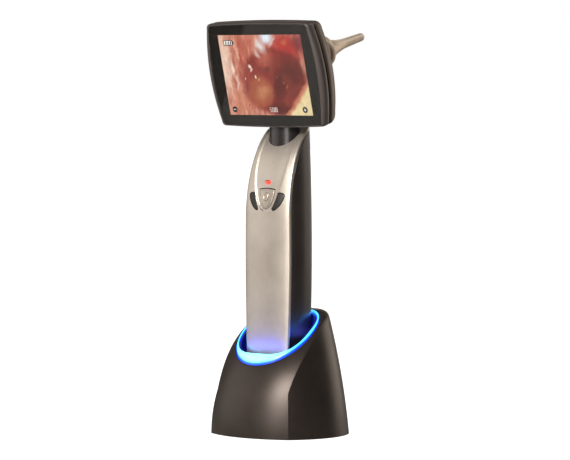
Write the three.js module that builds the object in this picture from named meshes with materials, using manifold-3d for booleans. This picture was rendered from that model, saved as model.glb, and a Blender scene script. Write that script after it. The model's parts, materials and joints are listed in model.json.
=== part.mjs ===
// Video otoscope standing in its charging cradle.
// Millimetres, +Z up. The origin is the centre of the cradle's underside, the screen faces -Y
// and the ear speculum points to +Y. Each named mesh is one separate piece of the real object.

import * as THREE from 'three';
import { mergeVertices } from 'three/addons/utils/BufferGeometryUtils.js';
import Module from 'manifold-3d';

const wasm = await Module();
wasm.setup();

// ---------------------------------------------------------------- driving dimensions

const GAP = 0.3; // clearance between neighbouring pieces

// Cradle: a bulged cone, its axis leaning back, whose front and top are cut away by one curved face.
const CRADLE = {
  baseRadius: 44.3, coneSlope: 0.09, coneBulge: 0.0015, axisLean: 0.0007,
  bottom: 0.3, height: 79.5, frontReach: 68.7, crestY: 30, faceRadius: 64, wall: 2.4,
};
const PAD_TOP = 1.5;
const BASE_PLATE = { bottom: 1.8, top: 4 };
const BASE_SCREWS = [[-29, -20], [29, -20], [-26, 26], [26, 26]];
const BOSS_RADIUS = 3.2;
const SCREW = { headRadius: 2.5, headHeight: 1.2, shankRadius: 1.1 };

// Socket and its lit ring, seen from above: superellipses around the handset's foot.
const RING_OUTER = { a: 28.4, b: 23.5, y: -2.3, power: 2 };
const RING_INNER = { a: 26.6, b: 19.7, y: -2.1, power: 2.4 };
const RING_PROUD = 0.9;
const RING_DEPTH = 2.8;
const LINER_WALL = 1.2;
const SOCKET_FLOOR = { bottom: 21.7, top: 23.7 };
const PIN = { x: 7, radius: 0.9, top: 24.8, bottom: 19.2, flangeRadius: 1.4 };
const DC_JACK = { z: 12, openingRadius: 4.6, face: 38.4, back: 28, boreRadius: 3.1 };

// Handle of the handset: a plan section and a side profile that curves back at the top.
const HANDLE = {
  foot: 24, halfWidth: 19.1, rear: 13.8, rearRadius: 7.5, widest: 118, sideRadius: 1430,
  front: -15.3, bulgeRadius: 61, bendStart: 138, bendDepth: 33.2, bendHeight: 62, wall: 1.8,
};
const COVER = 2; // front cover thickness, which is also how far it wraps onto the sides
const RECESS = 1; // depth of the tongue-shaped recess below the neck
const BUTTON = { flangeFront: 2.35, flangeBack: 3.15, stemBack: 2.8 }; // depths behind the front face
const BOARD = { front: -8.4, back: -7.2 };
const NECK = {
  halfWidth: 11.5, front: 7.3, rear: 5, y: 4.6, flange: 2.5,
  bottom: 175, wall: 1.8, frontTop: -30.5, rearTop: -25, step: 9,
};
const HANDLE_SCREWS = [[0, 34], [-10, 170], [10, 170]];

// Head: its own frame has its origin at the middle of the screen, x to the right,
// y backwards along the optical axis and z up the screen.
const HEAD = {
  centreY: -15.2, centreZ: 229.6, lean: THREE.MathUtils.degToRad(13.9),
  halfWidth: 47.9, halfHeight: 34.4, sideBow: 4, topBow: 0.8, corner: 3.5,
  lipWide: 3.6, lipTall: 0.9, lipFront: -0.3, lipBack: 2.1, frontEnd: 5.1,
  rearStart: 6.6, back: 21.6, crownWide: 16.4, crownTall: 18, wall: 2,
};
const GLASS = { front: -0.3, back: 0.8 };
const PANEL = { halfWidth: 38, halfHeight: 28.6 };
const LIP_LAND = 0.4; // flat land between the lip's curve and the glass
const LIP_CORNER_LOSS = 0.4; // how much narrower the lip is at the head's corners
const REAR_INSET = 0.15; // rear shell's step in from the front shell
const HEAD_SCREWS = [[-26, -16], [26, -16], [-26, 16], [26, 16]];
const HEAD_BOSS = { meet: 16.6, bore: 18 }; // where chassis and shell bosses meet, the heads' seat
const AXIS_Z = 1.4; // height of the optical axis in the head's frame
const FOCUS_RING = { front: 41.4, back: 50.4, inner: 10, outer: 12.8, flutes: 16 };
const SPECULUM = { front: 57, flangeRadius: 10.6, tip: 99.5, wall: 0.5 };

// ---------------------------------------------------------------- solids

// A closed geometry as a solid with its faces pointing out.
function solid(geometry) {
  geometry.deleteAttribute('normal');
  geometry.deleteAttribute('uv');
  const merged = mergeVertices(geometry, 1e-4);
  const vertices = merged.attributes.position;
  const corner = new THREE.Vector3();
  const at = (i) => corner.fromBufferAttribute(vertices, i).clone();
  const faces = [];
  let volume = 0;
  for (let i = 0; i < merged.index.count; i += 3) {
    const [a, b, c] = [0, 1, 2].map((k) => merged.index.getX(i + k));
    if (a !== b && b !== c && c !== a) {
      faces.push(a, b, c);
      volume += at(a).dot(at(b).cross(at(c)));
    }
  }
  if (volume < 0) {
    faces.reverse();
  }
  return new wasm.Manifold(new wasm.Mesh({
    numProp: 3,
    vertProperties: new Float32Array(vertices.array),
    triVerts: new Uint32Array(faces),
  }));
}

const join = (first, ...others) => others.reduce((sum, other) => sum.add(other), first);
const cut = (first, ...others) => others.reduce((rest, other) => rest.subtract(other), first);
const common = (first, ...others) => others.reduce((shared, other) => shared.intersect(other), first);

// A shape drawn in x and y, raised from z0 to z1.
function prismZ(shape, z0, z1, matrix) {
  const geometry = new THREE.ExtrudeGeometry(shape, {
    depth: z1 - z0, bevelEnabled: false, curveSegments: 5,
  });
  geometry.translate(0, 0, z0);
  return solid(matrix ? geometry.applyMatrix4(matrix) : geometry);
}

// A shape drawn in x and z, running from y0 to y1.
function prismY(shape, y0, y1) {
  const geometry = new THREE.ExtrudeGeometry(shape, {
    depth: y1 - y0, bevelEnabled: false, curveSegments: 5,
  });
  return solid(geometry.rotateX(Math.PI / 2).translate(0, y1, 0));
}

// A profile drawn in y and z, running across x from -reach to reach and bowed back at its sides.
function prismX(profile, reach, steps, bow) {
  const geometry = new THREE.ExtrudeGeometry(new THREE.Shape(profile), {
    depth: 2 * reach, steps, bevelEnabled: false,
  });
  const position = geometry.attributes.position;
  for (let i = 0; i < position.count; i += 1) {
    const x = position.getZ(i) - reach;
    position.setXYZ(i, x, position.getX(i) + bow(x), position.getY(i));
  }
  return solid(geometry);
}

function box(x0, x1, y0, y1, z0, z1) {
  const geometry = new THREE.BoxGeometry(x1 - x0, y1 - y0, z1 - z0);
  return solid(geometry.translate((x0 + x1) / 2, (y0 + y1) / 2, (z0 + z1) / 2));
}

function cylinderZ(radius, z0, z1, x = 0, y = 0, sides = 20) {
  const geometry = new THREE.CylinderGeometry(radius, radius, z1 - z0, sides);
  return solid(geometry.rotateX(Math.PI / 2).translate(x, y, (z0 + z1) / 2));
}

function cylinderY(radius, y0, y1, x = 0, z = 0, sides = 20) {
  const geometry = new THREE.CylinderGeometry(radius, radius, y1 - y0, sides);
  return solid(geometry.translate(x, (y0 + y1) / 2, z));
}

// A closed profile of [radius, y] points turned about the optical axis.
function turned(profile, sides = 22) {
  const points = profile.map(([radius, y]) => new THREE.Vector2(radius, y));
  return solid(new THREE.LatheGeometry(points, sides).translate(0, 0, AXIS_Z));
}

function superellipse({ a, b, y, power }, inset = 0, count = 36) {
  const points = [];
  for (let i = 0; i < count; i += 1) {
    const angle = (2 * Math.PI * i) / count;
    const cos = Math.cos(angle);
    const sin = Math.sin(angle);
    points.push(new THREE.Vector2(
      (a - inset) * Math.sign(cos) * Math.abs(cos) ** (2 / power),
      y + (b - inset) * Math.sign(sin) * Math.abs(sin) ** (2 / power),
    ));
  }
  return new THREE.Shape(points);
}


// ---------------------------------------------------------------- scene graph

const finishes = {
  cradle_satin: [0x4a4340, 0.45, 0.3],
  ring_diffuser: [0x3fb4ff, 0.25, 0],
  liner_dark: [0x15151c, 0.5, 0],
  plastic_black: [0x2c2826, 0.45, 0],
  pad_rubber: [0x1d1d1d, 0.9, 0],
  steel: [0x9a9c9f, 0.35, 1],
  board_green: [0x1c5a35, 0.5, 0],
  contact_gold: [0xc79a3d, 0.3, 1],
  handle_silver: [0xb9b2a8, 0.35, 0.6],
  button_silver: [0xaaa49b, 0.35, 0.6],
  button_black: [0x242120, 0.5, 0],
  led_red: [0xe8443a, 0.3, 0],
  bezel_dark: [0x4b4445, 0.35, 0.1],
  glass_black: [0x161618, 0.08, 0],
  panel_picture: [0xc26a5c, 0.3, 0],
  shell_warm: [0x5a4a40, 0.45, 0.1],
  champagne_metal: [0xb39a80, 0.3, 1],
  lens_glass: [0xc8dce6, 0.05, 0],
  battery_wrap: [0x2f4a7d, 0.45, 0],
};
const materials = {};
Object.entries(finishes).forEach(([name, [color, roughness, metalness]]) => {
  materials[name] = new THREE.MeshStandardMaterial({ name, color, roughness, metalness });
});

function piece(group, name, shape, finish) {
  const { vertProperties, triVerts } = shape.getMesh();
  const geometry = new THREE.BufferGeometry();
  geometry.setAttribute('position', new THREE.BufferAttribute(vertProperties, 3));
  geometry.setIndex(new THREE.BufferAttribute(triVerts, 1));
  geometry.computeVertexNormals();
  const mesh = new THREE.Mesh(geometry, materials[finish]);
  mesh.name = name;
  group.add(mesh);
}

const otoscope = new THREE.Group();
const cradle = new THREE.Group();
const handset = new THREE.Group();
const head = new THREE.Group();
otoscope.add(cradle, handset);
handset.add(head);
head.position.set(0, HEAD.centreY, HEAD.centreZ);
head.rotation.x = HEAD.lean;
head.updateMatrix();
const intoHead = head.matrix.clone().invert();

// ---------------------------------------------------------------- cradle

const faceBow = (x) => CRADLE.faceRadius - Math.sqrt(CRADLE.faceRadius ** 2 - x ** 2);

// Everything behind and below the cradle's curved front and top face, moved out by an offset.
function behindFace(offset) {
  const profile = [];
  const steps = 11;
  for (let i = 0; i <= steps; i += 1) {
    const angle = (i / steps) * (Math.PI / 2);
    profile.push(new THREE.Vector2(
      CRADLE.crestY - (CRADLE.frontReach + offset) * Math.cos(angle),
      (CRADLE.height + offset) * Math.sin(angle),
    ));
  }
  profile.push(new THREE.Vector2(70, CRADLE.height + offset), new THREE.Vector2(70, -20));
  profile.push(new THREE.Vector2(CRADLE.crestY - CRADLE.frontReach - offset, -20));
  return prismX(profile, 48, 12, faceBow);
}

// The cradle's outer form, or the same form drawn in by an inset.
function cradleForm(inset, bottom) {
  const profile = [new THREE.Vector2(0, bottom)];
  const steps = 8;
  for (let i = 0; i <= steps; i += 1) {
    const z = bottom + ((CRADLE.height + 2 - bottom) * i) / steps;
    const radius = CRADLE.baseRadius - CRADLE.coneSlope * z - CRADLE.coneBulge * z * z;
    profile.push(new THREE.Vector2(radius - inset, z));
  }
  profile.push(new THREE.Vector2(0, CRADLE.height + 2));
  const geometry = new THREE.LatheGeometry(profile, 40).rotateX(Math.PI / 2);
  const position = geometry.attributes.position;
  for (let i = 0; i < position.count; i += 1) {
    const z = position.getZ(i);
    position.setY(i, position.getY(i) + CRADLE.axisLean * z * z);
  }
  return common(solid(geometry), behindFace(-inset));
}

// The part of a vertical ring that lies between two depths below the cradle's face.
function ringBand(outerInset, innerInset, proud, depth) {
  const tube = cut(
    prismZ(superellipse(RING_OUTER, outerInset), 10, 100),
    prismZ(superellipse(RING_INNER, -innerInset), 0, 110),
  );
  return cut(common(tube, behindFace(proud)), behindFace(-depth));
}

const cradleOuter = cradleForm(0, CRADLE.bottom);
const atBaseScrews = (radius, z0, z1, sides) => (
  BASE_SCREWS.map(([x, y]) => cylinderZ(radius, z0, z1, x, y, sides))
);
const bosses = join(...atBaseScrews(BOSS_RADIUS, BASE_PLATE.top + GAP, 66, 10));
const ringOpening = prismZ(superellipse(RING_OUTER, -GAP), 30, 100);

piece(cradle, 'cradle_shell', cut(
  join(cut(cradleOuter, cradleForm(CRADLE.wall, -5)), common(bosses, cradleForm(CRADLE.wall / 2, -5))),
  ...atBaseScrews(SCREW.shankRadius + GAP, 2, 12, 8),
  ringOpening,
  cylinderY(DC_JACK.openingRadius, 30, 60, 0, DC_JACK.z),
), 'cradle_satin');

piece(cradle, 'light_ring', ringBand(0, 0, RING_PROUD, RING_DEPTH), 'ring_diffuser');
piece(cradle, 'ring_led_strip', ringBand(0.5, 0.5, -4.2, 5.2), 'board_green');

const linerOuter = superellipse(RING_INNER, GAP);
const linerInner = superellipse(RING_INNER, GAP + LINER_WALL);
piece(cradle, 'socket_liner', cut(
  common(prismZ(linerOuter, SOCKET_FLOOR.bottom, 90), behindFace(0)),
  prismZ(linerInner, SOCKET_FLOOR.top, 110),
  cylinderZ(PIN.radius + GAP, 20, 26, -PIN.x, 0, 12),
  cylinderZ(PIN.radius + GAP, 20, 26, PIN.x, 0, 12),
), 'liner_dark');

const floorForm = cradleForm(CRADLE.wall + GAP, -5);
piece(cradle, 'base_plate', cut(
  common(floorForm, box(-50, 50, -50, 50, BASE_PLATE.bottom, BASE_PLATE.top)),
  ...atBaseScrews(SCREW.shankRadius + GAP, -6, 12, 8),
), 'plastic_black');
piece(cradle, 'anti_slip_pad', cut(
  common(floorForm, box(-50, 50, -50, 50, 0, PAD_TOP)),
  ...atBaseScrews(SCREW.headRadius + GAP, -1, 3, 12),
), 'pad_rubber');

BASE_SCREWS.forEach(([x, y], i) => {
  const headTop = BASE_PLATE.bottom - GAP;
  piece(cradle, `base_screw_${i + 1}`, join(
    cylinderZ(SCREW.headRadius, headTop - SCREW.headHeight, headTop, x, y, 12),
    cylinderZ(SCREW.shankRadius, headTop - 0.2, 11, x, y, 8),
  ), 'steel');
});

const ballastShape = superellipse({ a: 23, b: 24, y: 2, power: 5 });
piece(cradle, 'ballast_plate', prismZ(ballastShape, BASE_PLATE.top + 0.4, 10.4), 'steel');
piece(cradle, 'charging_board', box(-16, 16, -13, 13, 16.2, 17.6), 'board_green');
piece(cradle, 'dc_jack', cut(
  box(-5.5, 5.5, DC_JACK.back, DC_JACK.face, DC_JACK.z - 5.5, DC_JACK.z + 5.5),
  cut(
    cylinderY(DC_JACK.boreRadius, DC_JACK.back + 2, DC_JACK.face + 1, 0, DC_JACK.z, 12),
    cylinderY(1, DC_JACK.back, DC_JACK.face - 1, 0, DC_JACK.z, 8),
  ),
), 'plastic_black');

[['left', -1], ['right', 1]].forEach(([side, sign]) => {
  piece(cradle, `charge_pin_${side}`, join(
    cylinderZ(PIN.radius, PIN.bottom, PIN.top, sign * PIN.x, 0, 12),
    cylinderZ(PIN.flangeRadius, 20.3, SOCKET_FLOOR.bottom - GAP, sign * PIN.x, 0, 12),
  ), 'contact_gold');
});

// ---------------------------------------------------------------- handle

const handleBow = (x) => HANDLE.bulgeRadius - Math.sqrt(HANDLE.bulgeRadius ** 2 - x ** 2);

// Everything behind the handle's front face, moved in by a depth.
function behindFront(depth) {
  const front = HANDLE.front + depth;
  const centre = HANDLE.front + HANDLE.bendDepth;
  const profile = [new THREE.Vector2(26, 0), new THREE.Vector2(front, 0)];
  const steps = 10;
  for (let i = 0; i <= steps; i += 1) {
    const angle = (i / steps) * (Math.PI / 2);
    profile.push(new THREE.Vector2(
      centre - (HANDLE.bendDepth - depth) * Math.cos(angle),
      HANDLE.bendStart + (HANDLE.bendHeight - depth) * Math.sin(angle),
    ));
  }
  profile.push(new THREE.Vector2(26, HANDLE.bendStart + HANDLE.bendHeight - depth));
  return prismX(profile, 21, 6, handleBow);
}

const betweenDepths = (shallow, deep) => cut(behindFront(shallow), behindFront(deep));

// The handle's plan section, drawn in by an inset on the sides and the rear.
function handlePlan(inset) {
  const side = HANDLE.halfWidth - inset;
  const rear = HANDLE.rear - inset;
  const radius = HANDLE.rearRadius - inset;
  const shape = new THREE.Shape();
  shape.moveTo(-side, -22);
  shape.lineTo(side, -22);
  shape.lineTo(side, rear - radius);
  shape.absarc(side - radius, rear - radius, radius, 0, Math.PI / 2);
  shape.lineTo(radius - side, rear);
  shape.absarc(radius - side, rear - radius, radius, Math.PI / 2, Math.PI);
  return shape;
}

// The handle's plan section raised from z0 to z1, slightly narrower above and below its widest level.
function handleBody(inset, z0, z1) {
  const geometry = new THREE.ExtrudeGeometry(handlePlan(inset), {
    depth: z1 - z0, steps: 9, bevelEnabled: false, curveSegments: 5,
  });
  const position = geometry.attributes.position;
  for (let i = 0; i < position.count; i += 1) {
    const z = z0 + position.getZ(i);
    const narrowing = (z - HANDLE.widest) ** 2 / (2 * HANDLE.sideRadius);
    position.setXYZ(i, position.getX(i) * (1 - narrowing / HANDLE.halfWidth), position.getY(i), z);
  }
  return solid(geometry);
}

// Recess from the neck down to the buttons, as half-widths going up from its rounded tip.
function tongueShape(grow, bottom, top) {
  const widthAt = (z) => {
    const t = Math.min(1, Math.max(0, (z - bottom) / 38));
    return grow + 11.9 * Math.sqrt(Math.sin((t * Math.PI) / 2));
  };
  const right = [];
  const steps = 9;
  for (let i = 0; i <= steps; i += 1) {
    const z = bottom + (top - bottom) * (i / steps) ** 2;
    right.push(new THREE.Vector2(i === 0 ? Math.max(0.6, grow) : widthAt(z), z));
  }
  const left = right.map((point) => new THREE.Vector2(-point.x, point.y)).reverse();
  return new THREE.Shape([...right, ...left]);
}

// Shield-shaped centre button, grown or shrunk by an allowance.
function shieldShape(grow) {
  const shape = new THREE.Shape();
  shape.moveTo(0, 144.6 - grow);
  shape.quadraticCurveTo(3.4 + grow, 145.2 - grow, 4.9 + grow, 149);
  shape.quadraticCurveTo(6.4 + grow, 153, 6.6 + grow, 157 + grow);
  shape.quadraticCurveTo(0, 158.6 + grow, -6.6 - grow, 157 + grow);
  shape.quadraticCurveTo(-6.4 - grow, 153, -4.9 - grow, 149);
  shape.quadraticCurveTo(-3.4 - grow, 145.2 - grow, 0, 144.6 - grow);
  return shape;
}

// Crescent-shaped side button beside the tongue, grown or shrunk by an allowance.
function crescentShape(sign, grow) {
  const shape = new THREE.Shape();
  shape.moveTo(sign * (9.9 - grow), 154.8 + grow);
  shape.quadraticCurveTo(sign * (8.7 - grow), 149.6, sign * (5.9 - grow), 145.4 - grow);
  shape.quadraticCurveTo(sign * 5.6, 143.5 - grow, sign * (7.4 + grow), 143.9 - grow);
  shape.quadraticCurveTo(sign * (12.6 + grow), 146.4 - grow, sign * (14.6 + grow), 152.4);
  shape.quadraticCurveTo(sign * (14.9 + grow), 154.2 + grow, sign * (12.9 + grow), 154.7 + grow);
  shape.quadraticCurveTo(sign * 11.4, 155.3 + grow, sign * (9.9 - grow), 154.8 + grow);
  return shape;
}

const ledShape = (grow) => {
  const shape = new THREE.Shape();
  shape.absellipse(0, 161.6, 2.6 + grow, 1.3 + grow, 0, 2 * Math.PI);
  return shape;
};

// The neck's section: deeper in front of its centre line than behind it.
function neckShape(grow, flange = 0) {
  const points = [];
  const count = 24;
  for (let i = 0; i < count; i += 1) {
    const angle = (2 * Math.PI * i) / count;
    const reach = Math.sin(angle) < 0 ? NECK.front : NECK.rear;
    points.push(new THREE.Vector2(
      (NECK.halfWidth + flange + grow) * Math.cos(angle),
      NECK.y + (reach + grow) * Math.sin(angle),
    ));
  }
  return new THREE.Shape(points);
}

const handleForm = handleBody(0, HANDLE.foot, 210);
const neckHole = prismZ(neckShape(GAP), 150, 212);
const frontBosses = join(
  cylinderY(3, -15, 3.5, 0, HANDLE_SCREWS[0][1], 12),
  ...HANDLE_SCREWS.slice(1).map(([x, z]) => cylinderY(2.8, -12, 1.4, x, z, 12)),
);
const frontBossHoles = join(
  cylinderY(SCREW.shankRadius + GAP, -9, 6, 0, HANDLE_SCREWS[0][1], 8),
  ...HANDLE_SCREWS.slice(1).map(([x, z]) => cylinderY(SCREW.shankRadius + GAP, -4.5, 6, x, z, 8)),
);

piece(handset, 'handle_front_cover', cut(
  join(common(handleForm, betweenDepths(0, COVER)), common(frontBosses, behindFront(COVER / 2))),
  cut(prismY(tongueShape(0, 143.4, 204), -30, 30), behindFront(RECESS)),
  prismY(shieldShape(GAP), -30, 0),
  prismY(crescentShape(1, GAP), -30, 0),
  prismY(crescentShape(-1, GAP), -30, 0),
  prismY(ledShape(GAP), -30, 0),
  frontBossHoles,
  neckHole,
), 'handle_silver');

const handleCavity = handleBody(HANDLE.wall, HANDLE.foot + 2, 215);
const rearBosses = join(
  cylinderY(3.4, 3.8, 14, 0, HANDLE_SCREWS[0][1], 12),
  ...HANDLE_SCREWS.slice(1).map(([x, z]) => cylinderY(3.4, 1.7, 14, x, z, 12)),
);
const rearBossHoles = join(
  ...HANDLE_SCREWS.map(([x, z]) => cylinderY(SCREW.shankRadius + GAP, 0, 16, x, z, 8)),
  ...HANDLE_SCREWS.map(([x, z]) => cylinderY(SCREW.headRadius + GAP, 11.2, 16, x, z, 12)),
);
piece(handset, 'handle_rear_cover', cut(
  join(
    cut(common(handleForm, behindFront(COVER + GAP)), handleCavity),
    common(rearBosses, handleForm),
  ),
  rearBossHoles,
  neckHole,
  cylinderZ(2.5, 20, 30, -PIN.x, 0, 12),
  cylinderZ(2.5, 20, 30, PIN.x, 0, 12),
), 'plastic_black');

HANDLE_SCREWS.forEach(([x, z], i) => {
  piece(handset, `handle_screw_${i + 1}`, join(
    cylinderY(SCREW.headRadius, 11.5, 11.5 + SCREW.headHeight, x, z, 12),
    cylinderY(SCREW.shankRadius, -3.5, 11.6, x, z, 8),
  ), 'steel');
});

piece(handset, 'centre_button', join(
  common(prismY(shieldShape(0), -20, 0), betweenDepths(RECESS - 0.6, BUTTON.stemBack)),
  common(prismY(shieldShape(1), -20, 0), betweenDepths(BUTTON.flangeFront, BUTTON.flangeBack)),
), 'button_silver');
[['left', -1], ['right', 1]].forEach(([side, sign]) => {
  piece(handset, `${side}_button`, join(
    common(prismY(crescentShape(sign, 0), -20, 0), betweenDepths(-0.4, BUTTON.stemBack)),
    common(
      prismY(crescentShape(sign, 0.55), -20, 0),
      betweenDepths(BUTTON.flangeFront, BUTTON.flangeBack),
    ),
  ), 'button_black');
});
piece(handset, 'indicator_led_lens', common(
  prismY(ledShape(0), -20, 0),
  betweenDepths(RECESS - 0.3, 2.9),
), 'led_red');

const boardShape = new THREE.Shape([
  [-14, 42], [14, 42], [14, 158], [6, 158], [6, 166], [-6, 166], [-6, 158], [-14, 158],
].map(([x, z]) => new THREE.Vector2(x, z)));
piece(handset, 'main_board', prismY(boardShape, BOARD.front, BOARD.back), 'board_green');
const switches = [['centre', 0, 151, -9.9], ['left', -10, 149.5, -9.4], ['right', 10, 149.5, -9.4]];
switches.forEach(([side, x, z, face]) => {
  piece(handset, `${side}_switch`, join(
    box(x - 2.6, x + 2.6, face, BOARD.front - GAP, z - 2.6, z + 2.6),
    cylinderY(1.2, face - 0.4, face + 0.2, x, z, 12),
  ), 'steel');
});
piece(handset, 'status_led', box(-1.6, 1.6, -9.3, BOARD.front - GAP, 160.4, 162.8), 'led_red');
piece(handset, 'battery_pack', cylinderZ(9.2, 44, 110, 0, 2.3, 28), 'battery_wrap');
[['left', -1], ['right', 1]].forEach(([side, sign]) => {
  const contact = cylinderZ(2.2, 25.1, 26.7, sign * PIN.x, 0, 12);
  piece(handset, `charge_contact_${side}`, contact, 'contact_gold');
});

// ---------------------------------------------------------------- neck

// Everything above a level of the head's frame, from one depth of it to another.
function aboveInHead(level, y0, y1) {
  const geometry = new THREE.BoxGeometry(120, y1 - y0, 60);
  return solid(geometry.translate(0, (y0 + y1) / 2, level + 30).applyMatrix4(head.matrix));
}

piece(handset, 'neck', cut(
  join(
    prismZ(neckShape(0), NECK.bottom, 212),
    prismZ(neckShape(0, NECK.flange), NECK.bottom, NECK.bottom + 2),
  ),
  prismZ(neckShape(-NECK.wall), NECK.bottom - 2, 216),
  aboveInHead(NECK.frontTop, -60, NECK.step),
  aboveInHead(NECK.rearTop, NECK.step - 1, 60),
), 'plastic_black');

// Flat cable from the main board, up the neck and into the head, drawn in y and z.
const ribbonPath = new THREE.CatmullRomCurve3([
  [-6.2, 147], [-6.2, 157], [-1.5, 167], [4.2, 176], [4.8, 188], [4.6, 200], [3.6, 207],
].map(([y, z]) => new THREE.Vector3(0, y, z)));
const ribbonSection = new THREE.Shape([[-4, -0.25], [4, -0.25], [4, 0.25], [-4, 0.25]].map(
  ([wide, thick]) => new THREE.Vector2(wide, thick),
));
piece(handset, 'display_ribbon_cable', solid(new THREE.ExtrudeGeometry(ribbonSection, {
  steps: 18, extrudePath: ribbonPath, bevelEnabled: false,
})), 'contact_gold');

// ---------------------------------------------------------------- head

// Barrel-shaped outline of the head seen from the front.
function headOutline() {
  const { corner } = HEAD;
  const side = HEAD.halfWidth - HEAD.sideBow;
  const top = HEAD.halfHeight - HEAD.topBow;
  const bowSide = side + 2 * HEAD.sideBow;
  const bowTop = top + 2 * HEAD.topBow;
  const shape = new THREE.Shape();
  shape.moveTo(side, corner - top);
  shape.quadraticCurveTo(bowSide, 0, side, top - corner);
  shape.quadraticCurveTo(side, top, side - corner, top);
  shape.quadraticCurveTo(0, bowTop, corner - side, top);
  shape.quadraticCurveTo(-side, top, -side, top - corner);
  shape.quadraticCurveTo(-bowSide, 0, -side, corner - top);
  shape.quadraticCurveTo(-side, -top, corner - side, -top);
  shape.quadraticCurveTo(0, -bowTop, side - corner, -top);
  shape.quadraticCurveTo(side, -top, side, corner - top);
  return shape;
}

// The head's outline followed back through [y, x inset, z inset] levels. A share of the x inset
// is lost towards the corners.
function headLoft(levels, cornerLoss = 0) {
  const last = levels.length - 1;
  const geometry = new THREE.ExtrudeGeometry(headOutline(), {
    depth: last, steps: last, bevelEnabled: false, curveSegments: 4,
  });
  const position = geometry.attributes.position;
  for (let i = 0; i < position.count; i += 1) {
    const [y, insetX, insetZ] = levels[last - Math.round(position.getZ(i))];
    const height = position.getY(i) / HEAD.halfHeight;
    const x = position.getX(i) * (1 - (insetX * (1 - cornerLoss * height ** 2)) / HEAD.halfWidth);
    const z = position.getY(i) * (1 - insetZ / HEAD.halfHeight);
    position.setXYZ(i, x, y, z);
  }
  return solid(geometry);
}

// Levels of the front shell: a quarter ellipse round the lip, then straight sides.
function frontLevels() {
  const levels = [];
  const steps = 4;
  for (let i = 0; i <= steps; i += 1) {
    const angle = (1 - i / steps) * (Math.PI / 2);
    const rise = 1 - Math.cos(angle);
    levels.push([
      HEAD.lipBack - (HEAD.lipBack - HEAD.lipFront) * Math.sin(angle),
      (HEAD.lipWide - LIP_LAND) * rise,
      (HEAD.lipTall - LIP_LAND / 3) * rise,
    ]);
  }
  levels.push([HEAD.frontEnd, 0.2, 0.1]);
  return levels;
}

// Levels of the rear shell's crown, its quarter ellipse drawn in by a wall thickness.
function crownLevels(front, wall, steps) {
  const depth = HEAD.back - wall - HEAD.rearStart;
  const levels = [[front, REAR_INSET + wall, REAR_INSET + wall]];
  for (let i = 0; i <= steps; i += 1) {
    const angle = (i / steps) * (Math.PI / 2);
    const rise = 1 - Math.cos(angle);
    levels.push([
      HEAD.rearStart + 0.05 + depth * Math.sin(angle),
      REAR_INSET + wall + HEAD.crownWide * rise,
      REAR_INSET + wall + HEAD.crownTall * rise,
    ]);
  }
  return levels;
}

const neckPassage = prismZ(neckShape(GAP), 180, 212, intoHead);
const panelWindow = box(
  -PANEL.halfWidth - GAP, PANEL.halfWidth + GAP, -2, 9,
  -PANEL.halfHeight - GAP, PANEL.halfHeight + GAP,
);

const glassPocket = headLoft([
  [-3, HEAD.lipWide, HEAD.lipTall],
  [GLASS.back + GAP, HEAD.lipWide, HEAD.lipTall],
], LIP_CORNER_LOSS);

piece(head, 'head_front_bezel', cut(
  headLoft(frontLevels(), LIP_CORNER_LOSS),
  glassPocket,
  panelWindow,
  headLoft([[2.2, HEAD.wall, HEAD.wall], [9, HEAD.wall, HEAD.wall]]),
  neckPassage,
), 'bezel_dark');
piece(head, 'screen_glass', headLoft([
  [GLASS.front, HEAD.lipWide + GAP + 0.2, HEAD.lipTall + GAP + 0.2],
  [GLASS.front + 0.2, HEAD.lipWide + GAP, HEAD.lipTall + GAP],
  [GLASS.back, HEAD.lipWide + GAP, HEAD.lipTall + GAP],
], LIP_CORNER_LOSS), 'glass_black');

// A layer the size of the display panel.
function panelLayer(y0, y1) {
  const { halfWidth, halfHeight } = PANEL;
  return box(-halfWidth, halfWidth, y0, y1, -halfHeight, halfHeight);
}

const atHeadScrews = (radius, y0, y1, sides) => (
  HEAD_SCREWS.map(([x, z]) => cylinderY(radius, y0, y1, x, z, sides))
);
piece(head, 'lcd_panel', panelLayer(GLASS.back + GAP, 4.4), 'panel_picture');
piece(head, 'backlight_unit', panelLayer(4.7, 6.9), 'steel');
piece(head, 'head_chassis', cut(
  join(panelLayer(7.2, 8.7), ...atHeadScrews(2.6, 8.5, HEAD_BOSS.meet - GAP, 12)),
  ...atHeadScrews(SCREW.shankRadius + GAP, 9.6, 22, 8),
), 'steel');
piece(head, 'head_board', join(
  box(-22, 22, 10.5, 11.9, -24, 24),
  box(-9, 9, 11.8, 14.4, 8, 20),
  box(-16, 16, 11.8, 13.2, -14, -2),
), 'board_green');

const tongueRing = cut(
  headLoft([[3.4, HEAD.wall + GAP, HEAD.wall + GAP], [8, HEAD.wall + GAP, HEAD.wall + GAP]]),
  headLoft([[2, HEAD.wall + 1, HEAD.wall + 1], [12, HEAD.wall + 1, HEAD.wall + 1]]),
);
piece(head, 'head_rear_shell', cut(
  join(
    cut(headLoft(crownLevels(HEAD.rearStart, 0, 6)), headLoft(crownLevels(2, HEAD.wall, 4))),
    tongueRing,
    ...atHeadScrews(4.4, HEAD_BOSS.meet, HEAD.back - 0.5, 12),
  ),
  ...atHeadScrews(SCREW.shankRadius + GAP, 14, 24, 8),
  ...atHeadScrews(SCREW.headRadius + GAP, HEAD_BOSS.bore, 24, 12),
  cylinderY(11, 16, 26, 0, AXIS_Z, 32),
  neckPassage,
), 'shell_warm');
HEAD_SCREWS.forEach(([x, z], i) => {
  const headFront = HEAD_BOSS.bore + GAP;
  piece(head, `head_screw_${i + 1}`, join(
    cylinderY(SCREW.headRadius, headFront, headFront + SCREW.headHeight, x, z, 12),
    cylinderY(SCREW.shankRadius, 10.2, headFront + 0.1, x, z, 8),
  ), 'steel');
});

// ---------------------------------------------------------------- camera and speculum

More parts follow.
